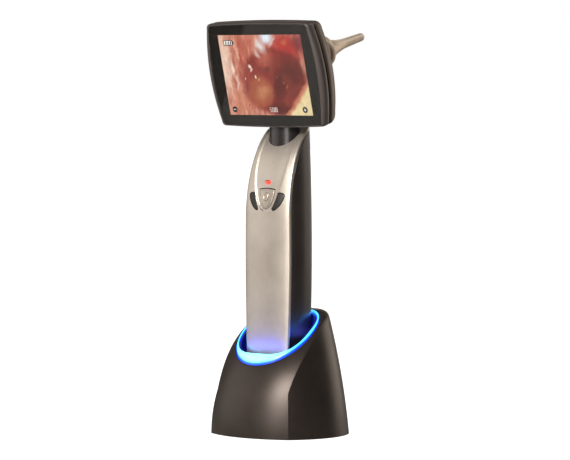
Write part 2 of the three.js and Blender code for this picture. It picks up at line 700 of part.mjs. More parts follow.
piece(head, 'camera_housing', turned([
  [8, 21.9], [16, 21.9], [16, 23.3], [14.6, 24.2], [11.6, 40.8], [9.7, 41], [9.7, 56.4], [6.3, 56.6],
  [6.3, 61.2], [6, 61.5], [2.05, 61.5], [2.05, 59.5], [4.6, 59.5], [4.6, 52], [8, 52], [8, 21.9],
]), 'shell_warm');
piece(head, 'image_sensor_board', join(
  cylinderY(7.5, 30, 31.2, 0, AXIS_Z, 24),
  box(-3, 3, 31, 32.4, AXIS_Z - 2.4, AXIS_Z + 2.4),
), 'board_green');
piece(head, 'lens_cell', turned([
  [4.4, 33.2], [7.6, 33.2], [7.6, 47], [3, 47], [3, 45.6], [4.4, 45.6], [4.4, 33.2],
], 16), 'steel');
piece(head, 'relay_lens', turned([
  [0, 36], [2.4, 36.3], [4.1, 37.2], [4.1, 38.8], [2.4, 39.7], [0, 40],
], 20), 'lens_glass');
piece(head, 'lens_tube', turned([
  [1.3, 50], [1.75, 50], [1.75, 97.8], [1.3, 97.8], [1.3, 50],
], 14), 'steel');
piece(head, 'objective_lens', turned([[0, 93.4], [1, 93.4], [1, 97], [0, 97.3]], 14), 'lens_glass');
piece(head, 'lamp_board', turned([
  [2.1, 61.8], [5.2, 61.8], [5.2, 62.6], [2.1, 62.6], [2.1, 61.8],
], 20), 'lens_glass');

const flutes = [];
for (let i = 0; i < FOCUS_RING.flutes; i += 1) {
  const angle = (2 * Math.PI * i) / FOCUS_RING.flutes;
  const radius = FOCUS_RING.outer + 0.35;
  flutes.push(cylinderY(
    0.9, FOCUS_RING.front + 1.2, FOCUS_RING.back - 1.2,
    radius * Math.cos(angle), AXIS_Z + radius * Math.sin(angle), 6,
  ));
}
piece(head, 'focus_ring', cut(turned([
  [FOCUS_RING.inner, FOCUS_RING.front], [FOCUS_RING.outer - 0.5, FOCUS_RING.front],
  [FOCUS_RING.outer, FOCUS_RING.front + 0.6], [FOCUS_RING.outer, FOCUS_RING.back - 0.6],
  [FOCUS_RING.outer - 0.5, FOCUS_RING.back], [FOCUS_RING.inner, FOCUS_RING.back],
  [FOCUS_RING.inner, FOCUS_RING.front],
]), ...flutes), 'champagne_metal');

// Trumpet outline of the speculum as [radius, y], from the flange to the tip.
const trumpet = [
  [7.9, 61.4], [7, 64], [5.6, 68], [4.4, 73], [3.6, 77.5], [3.25, 81], [2.95, 90], [2.7, 98],
];
const trumpetBore = trumpet.slice(1).reverse().map(([radius, y]) => [
  Math.max(2.15, radius - SPECULUM.wall - 0.3), y,
]);
piece(head, 'speculum', turned([
  [6.7, SPECULUM.front],
  [SPECULUM.flangeRadius - 0.5, SPECULUM.front],
  [SPECULUM.flangeRadius, SPECULUM.front + 0.5],
  [SPECULUM.flangeRadius, 59.5],
  [SPECULUM.flangeRadius - 0.6, 60.1],
  ...trumpet,
  [2.55, SPECULUM.tip - 0.3],
  [2.35, SPECULUM.tip],
  [2.15, SPECULUM.tip - 0.2],
  ...trumpetBore,
  [6.7, 62.8],
  [6.7, SPECULUM.front],
]), 'champagne_metal');

export default otoscope;
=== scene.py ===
"""Looks of a video otoscope standing in its lit charging cradle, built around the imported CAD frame.

Lengths are written in millimetres and turned into metres where a mesh is made. The cradle and the
handle use the row frame. The pieces of the head use the head's own frame, whose origin is the
middle of the screen, x to the right, y back along the optical axis and z up the screen.
"""

import json
import math

import bmesh
import bpy
from mathutils import Euler, Matrix, Vector


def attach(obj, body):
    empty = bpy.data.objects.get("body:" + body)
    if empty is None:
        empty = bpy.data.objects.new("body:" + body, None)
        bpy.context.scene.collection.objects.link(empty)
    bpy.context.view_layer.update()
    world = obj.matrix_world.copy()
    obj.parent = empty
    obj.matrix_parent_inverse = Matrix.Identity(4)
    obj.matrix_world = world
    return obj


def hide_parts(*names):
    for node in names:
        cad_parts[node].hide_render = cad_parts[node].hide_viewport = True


MM = 0.001
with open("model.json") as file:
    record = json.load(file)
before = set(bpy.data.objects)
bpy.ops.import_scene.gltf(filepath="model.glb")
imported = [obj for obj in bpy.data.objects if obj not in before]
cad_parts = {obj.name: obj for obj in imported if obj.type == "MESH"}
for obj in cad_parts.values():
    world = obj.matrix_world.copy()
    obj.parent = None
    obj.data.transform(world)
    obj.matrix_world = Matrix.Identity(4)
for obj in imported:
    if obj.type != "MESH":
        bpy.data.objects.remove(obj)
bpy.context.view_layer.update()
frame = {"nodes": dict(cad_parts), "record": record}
NODES = frame["nodes"]
SCENE = bpy.context.scene

# ---------------------------------------------------------------- driving dimensions

GAP = 0.3

# Cradle: the leaning cone, the curved face that cuts it, the ring on the face and the socket in it.
CONE = {"radius": 44.3, "slope": 0.09, "bulge": 0.0015, "lean": 0.0007, "bottom": 0.3}
FACE = {"height": 79.5, "reach": 68.7, "crest": 30.0, "bow": 64.0}
CRADLE_WALL = 2.4
CREASE = {"front_radius": 0.9, "rear_radius": 4.0, "turning": 58.0}
LIP = {"round": 0.25, "drop": 0.3, "depth": 4.0}
# Points along one line of the cradle's skin: up the wall, round the crease, over the face.
WALL_POINTS, CREASE_POINTS, FACE_POINTS = 14, 5, 32
RING_OUTER = {"a": 28.4, "b": 23.5, "y": -2.3, "power": 2.0}
RING_INNER = {"a": 26.6, "b": 19.7, "y": -2.1, "power": 2.4}
RING_SIDES = 160
RING_PROUD = 0.9
RING_DEPTH = 2.6
SOCKET_FLOOR = (21.7, 23.7)
DC_INLET = {"z": 12.0, "radius": 4.6}
# The two charge pins: where they stand, and the holes for them in the socket and in the handle.
PIN_PLACES = (-7, 7)
PIN_HOLE = 1.2
CONTACT_BORE = 2.5

# Handle: a straight part and a bend that leans back, with a tongue-shaped sunk face in the silver cover.
HANDLE = {
    "foot": 24.0, "half_width": 19.1, "rear": 13.8, "rear_radius": 7.5, "widest": 118.0,
    "side_radius": 1430.0, "front": -15.3, "bulge": 61.0, "bend_start": 138.0,
    "bend_depth": 33.2, "bend_height": 62.0, "wall": 1.8, "top": 203.0,
}
COVER = 1.4
SIDE_SWELL = 0.7
TONGUE = {"bottom": 143.4, "half_width": 11.9, "growth": 38.0, "depth": 1.0, "slope": 1.6}
CURVE_STEPS = 10
BUTTON_MARK = 152.6
BUTTON_BACK = 2.8
INDICATOR = {"z": 161.6, "half_width": 2.6, "half_height": 1.3, "gap": 0.15}
NECK = {"half_width": 11.5, "front": 7.3, "rear": 5.0, "y": 4.6, "bottom": 175.0, "below_head": 27.0}
NECK_IN_HANDLE, NECK_IN_HEAD = (150, 214), (180, 212)
HANDLE_SCREWS = [(0, 34), (-10, 170), (10, 170)]
COUNTERBORE = 2.8

# Head: a barrel-shaped outline, with the bezel's lip, the glass, the display and the domed rear shell.
HEAD_ORIGIN = (0.0, -15.2, 229.6)
HEAD_LEAN = math.radians(13.9)
HEAD = {
    "half_width": 47.9, "half_height": 34.4, "side_bow": 4.0, "top_bow": 0.8, "corner": 3.5,
    "lip_wide": 3.6, "lip_tall": 0.9, "lip_front": -0.3, "lip_back": 2.1, "front_end": 5.1,
    "rear_start": 6.6, "back": 21.6, "crown_wide": 16.4, "crown_tall": 18.0, "wall": 2.0,
}
LIP_LAND = 0.4
LIP_CORNER_LOSS = 0.4
REAR_INSET = 0.15
GLASS = (-0.3, 0.8)
PICTURE = (35.04, 26.28)
WINDOW = (35.3, 26.5)
PANEL = {"half_width": 38.0, "half_height": 28.6, "front": 1.12, "back": 4.4, "seat": 2.2}
HEAD_SCREWS = [(-26, -16), (26, -16), (-26, 16), (26, 16)]
# Camera: the height of its optical axis, the focus ring, and where the housing turns from plastic to metal.
AXIS_Z = 1.4
FOCUS = {"front": 41.4, "back": 50.4, "inner": 10.0, "outer": 12.8, "flutes": 16, "flute_depth": 0.42}
METAL_START = 40.5

HEAD_MATRIX = (
    Matrix.Translation(Vector(HEAD_ORIGIN) * MM) @ Euler((HEAD_LEAN, 0, 0)).to_matrix().to_4x4()
)

# ---------------------------------------------------------------- mesh helpers


def make_object(name, points, faces, matrix=None, sharp=32.0):
    """A smooth-shaded mesh object from points in millimetres, with edges above an angle kept sharp."""
    placed = [Vector(p) * MM for p in points]
    if matrix is not None:
        placed = [matrix @ p for p in placed]
    mesh = bpy.data.meshes.new(name)
    mesh.from_pydata(placed, [], faces)
    tidy_mesh(mesh, sharp)
    obj = bpy.data.objects.new(name, mesh)
    SCENE.collection.objects.link(obj)
    return obj


def tidy_mesh(mesh, sharp):
    """Merges doubled points, points the faces outwards and sets smooth shading."""
    work = bmesh.new()
    work.from_mesh(mesh)
    bmesh.ops.remove_doubles(work, verts=work.verts, dist=2e-6)
    bmesh.ops.dissolve_degenerate(work, edges=work.edges, dist=1e-6)
    bmesh.ops.recalc_face_normals(work, faces=work.faces)
    work.to_mesh(mesh)
    work.free()
    mesh.polygons.foreach_set("use_smooth", [True] * len(mesh.polygons))
    mesh.set_sharp_from_angle(angle=math.radians(sharp))


def loft(rings, wrap=False):
    """Points and faces of a skin over equally long closed rings, its ends capped or joined."""
    count = len(rings[0])
    points = [p for ring in rings for p in ring]
    faces = []
    spans = len(rings) if wrap else len(rings) - 1
    for i in range(spans):
        j = (i + 1) % len(rings)
        for k in range(count):
            n = (k + 1) % count
            faces.append((i * count + k, i * count + n, j * count + n, j * count + k))
    if not wrap:
        faces.append(tuple(range(count))[::-1])
        faces.append(tuple((len(rings) - 1) * count + k for k in range(count)))
    return points, faces


def turns(count):
    """Evenly spaced angles round one full turn."""
    return [2 * math.pi * k / count for k in range(count)]


def between(a, b, share):
    """The point at a share of the way from a to b."""
    return tuple(p + (q - p) * share for p, q in zip(a, b))


def turned(profile, sides=72, radius_at=None):
    """A closed [radius, y] profile turned about the optical axis, in the head's frame."""
    rings = []
    for radius, y in profile:
        ring = []
        for angle in turns(sides):
            r = radius_at(radius, y, angle) if radius_at else radius
            ring.append((r * math.cos(angle), y, AXIS_Z + r * math.sin(angle)))
        rings.append(ring)
    return loft(rings, wrap=True)


def carve(obj, cutters, sharp):
    """Cuts closed tools out of a piece with exact booleans, and deletes the tools."""
    for cutter in cutters:
        modifier = obj.modifiers.new("carve", "BOOLEAN")
        modifier.object = cutter
        modifier.operation = "DIFFERENCE"
        modifier.solver = "EXACT"
    bpy.context.view_layer.update()
    shaped = obj.evaluated_get(bpy.context.evaluated_depsgraph_get())
    mesh = bpy.data.meshes.new_from_object(shaped)
    obj.modifiers.clear()
    obj.data = mesh
    tidy_mesh(mesh, sharp)
    for cutter in cutters:
        bpy.data.objects.remove(cutter)


def cylinder_tool(radius, start, end, sides=24, matrix=None):
    """A cutting cylinder between two points."""
    start, end = Vector(start), Vector(end)
    turn = (end - start).to_track_quat("Z", "Y")
    rings = []
    for centre in (start, end):
        rings.append([
            centre + turn @ Vector((radius * math.cos(a), radius * math.sin(a), 0)) for a in turns(sides)
        ])
    return make_object("tool", *loft(rings), matrix=matrix)


def piece(obj, body, slot, material, *replaced):
    """Puts a finished piece on its body, gives it its finish and hides the CAD nodes it stands for."""
    obj.data.materials.clear()
    for name in material if isinstance(material, list) else [material]:
        obj.data.materials.append(MATERIAL[name])
    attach(obj, body)
    if replaced:
        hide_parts(*replaced)


def bezier(a, b, c, t):
    """A point on a quadratic curve from a to c with b as its control point."""
    return tuple((1 - t) ** 2 * p + 2 * t * (1 - t) * q + t * t * r for p, q, r in zip(a, b, c))


def smooth_curve(points):
    """A Catmull-Rom curve through a short list of points."""
    per_span = 6
    dense = []
    for i in range(len(points) - 1):
        p0 = points[max(0, i - 1)]
        p1, p2 = points[i], points[i + 1]
        p3 = points[min(len(points) - 1, i + 2)]
        for k in range(per_span):
            t = k / per_span
            dense.append(tuple(
                0.5 * (2 * b + (c - a) * t + (2 * a - 5 * b + 4 * c - d) * t * t
                       + (3 * b - a - 3 * c + d) * t ** 3)
                for a, b, c, d in zip(p0, p1, p2, p3)
            ))
    dense.append(tuple(points[-1]))
    return dense


# ---------------------------------------------------------------- materials

MATERIAL = {}
SHADER_INPUTS = {
    "colour": "Base Color", "rough": "Roughness", "metallic": "Metallic", "specular": "Specular IOR Level",
    "coat": "Coat Weight", "coat_rough": "Coat Roughness", "sheen": "Sheen Weight",
    "sheen_tint": "Sheen Tint", "ior": "IOR", "transmission": "Transmission Weight",
    "glow": "Emission Color", "emission": "Emission Strength",
}


class Nodes:
    """A small builder for a material's node tree. Every material made is kept by name in MATERIAL."""

    def __init__(self, name):
        self.material = bpy.data.materials.new(name)
        self.material.use_nodes = True
        MATERIAL[name] = self.material
        self.tree = self.material.node_tree
        self.shader = self.tree.nodes["Principled BSDF"]
        self.object_coords = self.add("ShaderNodeTexCoord").outputs["Object"]

    def add(self, kind, **settings):
        node = self.tree.nodes.new(kind)
        for key, value in settings.items():
            setattr(node, key, value)
        return node

    def put(self, value, target):
        """Feeds an input with another node's output, a colour or a number."""
        if isinstance(value, bpy.types.NodeSocket):
            self.tree.links.new(value, target)
        else:
            target.default_value = (*value, 1) if isinstance(value, tuple) else value

    def set(self, **values):
        """Feeds the shader's inputs, by their short names."""
        for key, value in values.items():
            self.put(value, self.shader.inputs[SHADER_INPUTS[key]])

    def mapped(self, vector, kind="TEXTURE", **values):
        """A moved, turned and scaled vector. As a TEXTURE mapping it works the other way round."""
        mapping = self.add("ShaderNodeMapping", vector_type=kind)
        self.put(vector, mapping.inputs["Vector"])
        for key, value in values.items():
            mapping.inputs[key.title()].default_value = value
        return mapping.outputs["Vector"]

    def noise(self, scale, detail=3.0, roughness=0.5, stretch=(1, 1, 1), vector=None):
        texture = self.add("ShaderNodeTexNoise")
        texture.inputs["Scale"].default_value = scale
        texture.inputs["Detail"].default_value = detail
        texture.inputs["Roughness"].default_value = roughness
        self.put(self.mapped(vector or self.object_coords, "POINT", scale=stretch), texture.inputs["Vector"])
        return texture.outputs["Fac"]

    def ball(self, vector):
        """1 in the middle of a unit ball, 0 at its surface."""
        gradient = self.add("ShaderNodeTexGradient", gradient_type="SPHERICAL")
        self.put(vector, gradient.inputs["Vector"])
        return gradient.outputs["Fac"]

    def split(self, vector):
        node = self.add("ShaderNodeSeparateXYZ")
        self.put(vector, node.inputs[0])
        return node.outputs

    def remap(self, value, low, high, to_low, to_high, smooth=False):
        node = self.add("ShaderNodeMapRange")
        node.interpolation_type = "SMOOTHSTEP" if smooth else "LINEAR"
        for key, number in zip(("From Min", "From Max", "To Min", "To Max"), (low, high, to_low, to_high)):
            node.inputs[key].default_value = number
        self.put(value, node.inputs["Value"])
        return node.outputs["Result"]

    def by_ray(self, to_camera, to_others):
        """One value for what the camera sees directly, and another for every other ray."""
        seen = self.add("ShaderNodeLightPath").outputs["Is Camera Ray"]
        return self.remap(seen, 0.0, 1.0, to_others, to_camera)

    def mix(self, factor, first, second, blend="MIX"):
        node = self.add("ShaderNodeMix", data_type="RGBA", blend_type=blend)
        for value, socket in ((factor, 0), (first, 6), (second, 7)):
            self.put(value, node.inputs[socket])
        return node.outputs[2]

    def math(self, operation, first, second=0.0):
        node = self.add("ShaderNodeMath", operation=operation)
        self.put(first, node.inputs[0])
        self.put(second, node.inputs[1])
        return node.outputs[0]

    def bump(self, height, strength, distance):
        node = self.add("ShaderNodeBump")
        node.inputs["Strength"].default_value = strength
        node.inputs["Distance"].default_value = distance * MM
        self.put(height, node.inputs["Height"])
        self.put(node.outputs["Normal"], self.shader.inputs["Normal"])


def surface(name, dark, light, rough, grain=(900, 0.1, 0.02), patch=60, stretch=(1, 1, 1), **extra):
    """A finish with two tones in soft patches and an uneven roughness.

    grain is the fine bump: (noise scale, strength, depth). patch is the noise scale of the patches.
    """
    nodes = Nodes(name)
    broad = nodes.noise(patch, 4.0, 0.6)
    fine = nodes.noise(grain[0], 2.0, 0.5, stretch)
    tone = nodes.math("ADD", nodes.math("MULTIPLY", broad, 0.6), nodes.math("MULTIPLY", fine, 0.4))
    tone = nodes.remap(tone, 0.35, 0.65, 0.0, 1.0)
    nodes.bump(fine, grain[1], grain[2])
    # The blue emission colour shows only where an emission strength is given: on the socket liner, where it
    # is painted glow.
    nodes.set(colour=nodes.mix(tone, dark, light), rough=nodes.remap(broad, 0.3, 0.7, *rough),
              glow=(0.0, 0.01, 0.30), **extra)


def make_materials():
    """Every finish by its slot name in the record, and a few more for parts of a piece."""
    surface("cradle_body", (0.038, 0.029, 0.025), (0.058, 0.046, 0.040), (0.33, 0.40), (2200, 0.16, 0.03), 30,
            metallic=0.55, specular=0.5)
    # The socket liner's faint blue emission is painted glow: the ring's light falling into the socket,
    # painted onto the liner.
    surface("socket_liner", (0.012, 0.013, 0.05), (0.02, 0.02, 0.07), (0.35, 0.45), emission=0.3)
    surface("black_plastic", (0.018, 0.013, 0.010), (0.027, 0.020, 0.016), (0.34, 0.42),
            (1800, 0.1, 0.02), 40)
    surface("neck_plastic", (0.014, 0.011, 0.012), (0.022, 0.018, 0.019), (0.24, 0.3), (1400, 0.05, 0.01), 50)
    surface("rubber_pad", (0.008, 0.008, 0.008), (0.018, 0.018, 0.018), (0.8, 0.95), (1200, 0.4, 0.08))
    surface("steel", (0.42, 0.42, 0.43), (0.6, 0.6, 0.6), (0.24, 0.36), (1500, 0.08, 0.01), 90, (1, 1, 8),
            metallic=1.0)
    surface("circuit_board", (0.008, 0.10, 0.04), (0.02, 0.17, 0.07), (0.3, 0.42), (500, 0.2, 0.03))
    surface("gold_contact", (0.70, 0.46, 0.14), (0.86, 0.60, 0.22), (0.18, 0.3), metallic=1.0)
    surface("flat_cable", (0.36, 0.16, 0.03), (0.5, 0.24, 0.05), (0.3, 0.4), (1600, 0.3, 0.03), 120,
            (0.1, 1, 1))
    surface("silver_paint", (0.42, 0.375, 0.33), (0.60, 0.55, 0.495), (0.34, 0.42), (3400, 0.10, 0.02), 26,
            metallic=0.72, coat=0.25, coat_rough=0.25)
    surface("button_silver", (0.38, 0.34, 0.30), (0.50, 0.455, 0.405), (0.32, 0.42), (3000, 0.10, 0.02), 60,
            metallic=0.7)
    surface("button_black", (0.008, 0.007, 0.006), (0.014, 0.012, 0.011), (0.42, 0.5),
            (1600, 0.08, 0.01))
    surface("bezel_plastic", (0.078, 0.064, 0.062), (0.094, 0.078, 0.077), (0.32, 0.40),
            (1800, 0.05, 0.01), 40, metallic=0.2)
    surface("head_back_plastic", (0.062, 0.041, 0.028), (0.084, 0.059, 0.042), (0.34, 0.42),
            (2000, 0.1, 0.02), 40, metallic=0.3)
    surface("champagne_metal", (0.52, 0.42, 0.325), (0.60, 0.49, 0.39), (0.40, 0.48), (1500, 0.01, 0.002), 40,
            metallic=0.65, sheen=1.0, sheen_tint=(1.0, 0.88, 0.74))
    surface("battery_wrap", (0.02, 0.06, 0.22), (0.04, 0.10, 0.32), (0.3, 0.4))
    surface("border_ink", (0.003, 0.003, 0.003), (0.005, 0.004, 0.004), (0.5, 0.6), specular=0.15)
    surface("icon_dark", (0.004, 0.004, 0.004), (0.012, 0.010, 0.010), (0.6, 0.7))
    surface("dark_card", (0.16, 0.145, 0.13), (0.18, 0.165, 0.15), (0.8, 0.9), specular=0.0)
    clear("lens_glass", (0.86, 0.93, 0.97), 0.02)
    clear("screen_glass", (0.93, 0.94, 0.93), 0.012)
    glowing_ring()
    glowing_red()
    glowing_icon()
    picture()


def clear(name, tint, rough):
    """Polished clear glass, with faint uneven polish in its roughness."""
    nodes = Nodes(name)
    haze = nodes.noise(80, 3.0, 0.5)
    nodes.set(colour=nodes.mix(haze, tint, tuple(c * 0.985 for c in tint)),
              rough=nodes.remap(haze, 0.3, 0.7, rough * 0.5, rough * 1.6), transmission=1.0, ior=1.5)


def glowing_ring():
    """The lit light guide: near white at the front, cyan along its arms, deep blue at its sides."""
    nodes = Nodes("ring_diffuser")
    cloud = nodes.noise(140, 2.0, 0.5)
    front = nodes.remap(nodes.split(nodes.object_coords)["Y"], -0.010, -0.027, 0.0, 1.0, smooth=True)
    front = nodes.math("MULTIPLY", front, nodes.remap(cloud, 0.2, 0.8, 0.8, 1.1))
    normal = nodes.add("ShaderNodeNewGeometry").outputs["Normal"]
    top = nodes.remap(nodes.split(normal)["Z"], 0.0, 0.55, 0.0, 1.0, smooth=True)
    blue = nodes.mix(top, (0.0, 0.03, 0.75), (0.06, 0.46, 1.0))
    colour = nodes.mix(nodes.math("MULTIPLY", front, top), blue, (0.25, 0.86, 1.0))
    nodes.set(colour=colour, glow=colour, rough=0.3, emission=nodes.by_ray(1.6, 7.0))


def glowing_red():
    """A lit red lens with a paler rim and a darker middle."""
    nodes = Nodes("red_indicator")
    cloud = nodes.remap(nodes.noise(900, 2.0, 0.5), 0.35, 0.65, 0.0, 1.0)
    colour = nodes.mix(cloud, (1.0, 0.055, 0.04), (1.0, 0.12, 0.09))
    core = nodes.mapped(nodes.object_coords, location=(0.0006, -0.0195, 0.1613), scale=(0.0015, 0.02, 0.0006))
    colour = nodes.mix(nodes.remap(nodes.ball(core), 0.0, 0.5, 0.0, 0.85), colour, (0.30, 0.004, 0.004))
    nodes.set(colour=colour, glow=colour, rough=0.25, emission=0.75)


def glowing_icon():
    """White screen marks, slightly uneven as lit pixels are."""
    nodes = Nodes("icon_light")
    colour = nodes.mix(nodes.noise(2500, 1.0, 0.5), (0.62, 0.58, 0.56), (0.9, 0.88, 0.86))
    nodes.set(colour=colour, glow=colour, rough=0.6, emission=0.75)


# Soft patches of the lit picture: (u, v, half-width, half-height, turn in degrees, edge softness,
# strength, colour). u runs from -1 at the left to 1, v from -1 at the bottom to 1.
PATCHES = [
    (-0.98, 0.25, 0.30, 1.15, 4, 0.8, 0.80, (0.88, 0.74, 0.63)),
    (-0.62, -0.60, 0.34, 0.60, 12, 0.9, 0.70, (0.66, 0.33, 0.22)),
    (-0.42, 0.62, 0.20, 0.60, -20, 0.9, 0.70, (0.52, 0.15, 0.10)),
    (-0.22, 0.80, 0.26, 0.34, 0, 0.9, 0.55, (0.62, 0.22, 0.15)),
    (0.60, 0.66, 0.56, 0.60, -20, 0.8, 0.95, (0.50, 0.050, 0.045)),
    (0.95, 0.80, 0.26, 0.40, 0, 0.8, 0.80, (0.24, 0.03, 0.055)),
    (0.20, -0.16, 0.86, 0.92, 0, 0.20, 0.92, (0.31, 0.044, 0.038)),
    (-0.44, 0.06, 0.20, 0.46, -10, 0.9, 0.60, (0.46, 0.12, 0.085)),
    (0.04, 0.42, 0.30, 0.40, 10, 0.9, 0.85, (0.56, 0.20, 0.14)),
    (0.66, 0.04, 0.56, 0.62, -20, 0.95, 0.92, (0.18, 0.036, 0.028)),
    (0.30, -0.30, 0.22, 0.62, 12, 0.8, 0.80, (0.155, 0.022, 0.020)),
    (0.62, -0.46, 0.34, 0.30, 0, 0.9, 0.70, (0.27, 0.060, 0.046)),
    (0.30, -0.86, 0.56, 0.24, 10, 0.8, 0.80, (0.155, 0.026, 0.026)),
    (-0.16, -0.42, 0.37, 0.50, 10, 0.40, 0.95, (0.47, 0.165, 0.095)),
    (-0.10, -0.42, 0.22, 0.30, 20, 0.9, 0.60, (0.66, 0.37, 0.21)),
    (0.07, 0.15, 0.16, 0.10, -20, 0.9, 0.75, (0.22, 0.075, 0.06)),
    (0.60, 0.80, 0.12, 0.11, 0, 0.9, 0.75, (0.66, 0.24, 0.12)),
    (0.52, -0.10, 0.14, 0.26, -30, 0.9, 0.55, (0.30, 0.085, 0.06)),
]
# Bright streaks and glints, which lie over the patches and over the pale lower right corner.
STREAKS = [
    (0.17, 0.92, 0.22, 0.26, -38, 0.9, 0.95, (0.82, 0.90, 0.98)),
    (-0.02, 0.74, 0.15, 0.28, -30, 0.9, 0.85, (0.80, 0.80, 0.80)),
    (-0.12, 0.54, 0.06, 0.16, -14, 0.9, 0.60, (0.86, 0.74, 0.68)),
    (0.30, 0.80, 0.05, 0.22, 34, 0.9, 0.55, (0.84, 0.72, 0.70)),
    (-0.74, 0.16, 0.045, 0.34, -6, 0.9, 0.70, (0.92, 0.86, 0.78)),
    (-0.70, -0.20, 0.035, 0.24, 8, 0.9, 0.60, (0.90, 0.80, 0.70)),
    (-0.88, -0.10, 0.030, 0.26, 2, 0.9, 0.50, (0.88, 0.78, 0.66)),
    (-0.36, 0.20, 0.050, 0.085, -12, 0.7, 0.90, (0.92, 0.88, 0.80)),
    (-0.33, 0.12, 0.035, 0.050, 20, 0.7, 0.80, (0.90, 0.80, 0.68)),
    (-0.23, -0.04, 0.030, 0.060, -30, 0.7, 0.85, (0.94, 0.86, 0.74)),
    (-0.50, -0.08, 0.025, 0.045, 10, 0.7, 0.70, (0.90, 0.82, 0.74)),
    (-0.14, -0.12, 0.050, 0.030, -40, 0.8, 0.60, (0.90, 0.66, 0.44)),
    (0.42, -0.18, 0.020, 0.070, -30, 0.7, 0.65, (0.66, 0.40, 0.26)),
    (0.49, -0.30, 0.022, 0.090, 24, 0.7, 0.65, (0.62, 0.38, 0.22)),
    (0.28, -0.06, 0.012, 0.050, 0, 0.7, 0.50, (0.60, 0.34, 0.26)),
]


def picture():
    """The lit picture on the display: a view into an ear canal with its round membrane."""
    nodes = Nodes("screen_picture")
    place = nodes.mapped(nodes.object_coords, location=Vector(HEAD_ORIGIN) * MM, rotation=(HEAD_LEAN, 0, 0),
                         scale=(PICTURE[0] * MM, 1, PICTURE[1] * MM))
    wobble = nodes.add("ShaderNodeTexNoise")
    wobble.inputs["Scale"].default_value = 3.2
    wobble.inputs["Detail"].default_value = 4.0
    nodes.put(place, wobble.inputs["Vector"])
    centred = nodes.add("ShaderNodeVectorMath", operation="SUBTRACT")
    nodes.put(wobble.outputs["Color"], centred.inputs[0])
    centred.inputs[1].default_value = (0.5, 0.5, 0.5)
    shifted = nodes.add("ShaderNodeVectorMath", operation="MULTIPLY_ADD")
    nodes.put(centred.outputs[0], shifted.inputs[0])
    shifted.inputs[1].default_value = (0.20, 0.0, 0.20)
    nodes.put(place, shifted.inputs[2])
    bent = shifted.outputs[0]

    def patches(colour, spots):
        for u, v, wide, tall, turn, soft, strength, tint in spots:
            spot = nodes.mapped(bent, location=(u, 0, v), rotation=(0, math.radians(turn), 0),
                                scale=(wide, 1, tall))
            cover = nodes.remap(nodes.ball(spot), 0.0, soft, 0.0, strength, smooth=True)
            colour = nodes.mix(cover, colour, tint)
        return colour

    folds = nodes.noise(1.0, 5.0, 0.62, (9.0, 1.0, 2.0), bent)
    colour = nodes.mix(nodes.remap(folds, 0.35, 0.68, 0.0, 1.0), (0.50, 0.14, 0.10), (0.80, 0.52, 0.41))
    colour = patches(colour, PATCHES)
    axes = nodes.split(bent)
    corner = nodes.math("SUBTRACT", axes["X"], nodes.math("MULTIPLY", axes["Z"], 0.72))
    rim = nodes.remap(corner, 1.02, 1.12, 0.0, 0.9, smooth=True)
    skin = nodes.remap(corner, 1.12, 1.24, 0.0, 1.0, smooth=True)
    colour = nodes.mix(skin, nodes.mix(rim, colour, (0.66, 0.30, 0.20)), (0.80, 0.68, 0.44))
    colour = patches(colour, STREAKS)
    vessels = nodes.noise(5.0, 6.0, 0.7, (2.4, 1.0, 1.0), bent)
    colour = nodes.mix(0.55, colour, nodes.remap(vessels, 0.2, 0.8, 0.55, 1.25), "MULTIPLY")

    axes = nodes.split(place)
    inside = [nodes.math("LESS_THAN", nodes.math("ABSOLUTE", axes[axis]), 1.0) for axis in ("X", "Z")]
    deep = nodes.add("ShaderNodeGamma")
    deep.inputs["Gamma"].default_value = 1.4
    nodes.put(nodes.mix(nodes.math("MULTIPLY", *inside), (0.002, 0.002, 0.002), colour), deep.inputs["Color"])
    nodes.set(colour=(0.01, 0.01, 0.01), glow=deep.outputs["Color"], rough=0.5, specular=0.0, emission=1.35)


make_materials()

# ---------------------------------------------------------------- cradle


def face_height(x, y, offset=0.0):
    """Height of the cradle's curved face over a point, the face moved out by an offset."""
    back = FACE["crest"] - (y - FACE["bow"] + math.sqrt(FACE["bow"] ** 2 - x * x))
    share = min(1.0, max(0.0, back / (FACE["reach"] + offset)))
    return (FACE["height"] + offset) * math.sqrt(1 - share * share)


def cone_at(angle, z):
    """A point on the cradle's leaning cone."""
    radius = CONE["radius"] - CONE["slope"] * z - CONE["bulge"] * z * z
    return radius * math.cos(angle), CONE["lean"] * z * z + radius * math.sin(angle)


def superellipse(shape, angle, inset=0.0):
    """A point on a ring outline, in plan, drawn in by an inset."""
    cos, sin = math.cos(angle), math.sin(angle)
    return (
        (shape["a"] - inset) * math.copysign(abs(cos) ** (2 / shape["power"]), cos),
        shape["y"] + (shape["b"] - inset) * math.copysign(abs(sin) ** (2 / shape["power"]), sin),
    )


def bisect(is_below, low, high):
    """The value between low and high where a test changes from true to false."""
    for _ in range(40):
        middle = (low + high) / 2
        if is_below(middle):
            low = middle
        else:
            high = middle
    return low


def crease_height(angle):
    """Height at which the cone meets the curved face in one direction."""
    return bisect(lambda z: face_height(*cone_at(angle, z)) > z, CONE["bottom"], FACE["height"])


def crease_angle(z):
    """Direction, from the front round to the right, in which the crease is at a height."""
    return bisect(lambda angle: face_height(*cone_at(angle, z)) < z, -math.pi / 2, math.pi / 2)


def evenly(points, count):
    """The same path with its points evenly spaced."""
    lengths = [0.0]
    for a, b in zip(points, points[1:]):
        lengths.append(lengths[-1] + math.dist(a, b))
    result, k = [], 0
    for i in range(count):
        wanted = lengths[-1] * i / (count - 1)
        while k < len(points) - 2 and lengths[k + 1] < wanted:
            k += 1
        span = lengths[k + 1] - lengths[k]
        share = 0.0 if span == 0 else (wanted - lengths[k]) / span
        result.append(between(points[k], points[k + 1], share))
    return result


def cut_from(points, distance):
    """Drops the first stretch of a path, up to a distance from its start."""
    travelled = 0.0
    for i, (a, b) in enumerate(zip(points, points[1:])):
        step = math.dist(a, b)
        if travelled + step > distance:
            return [between(a, b, (distance - travelled) / step)] + points[i + 1:]
        travelled += step
    return points[-2:]


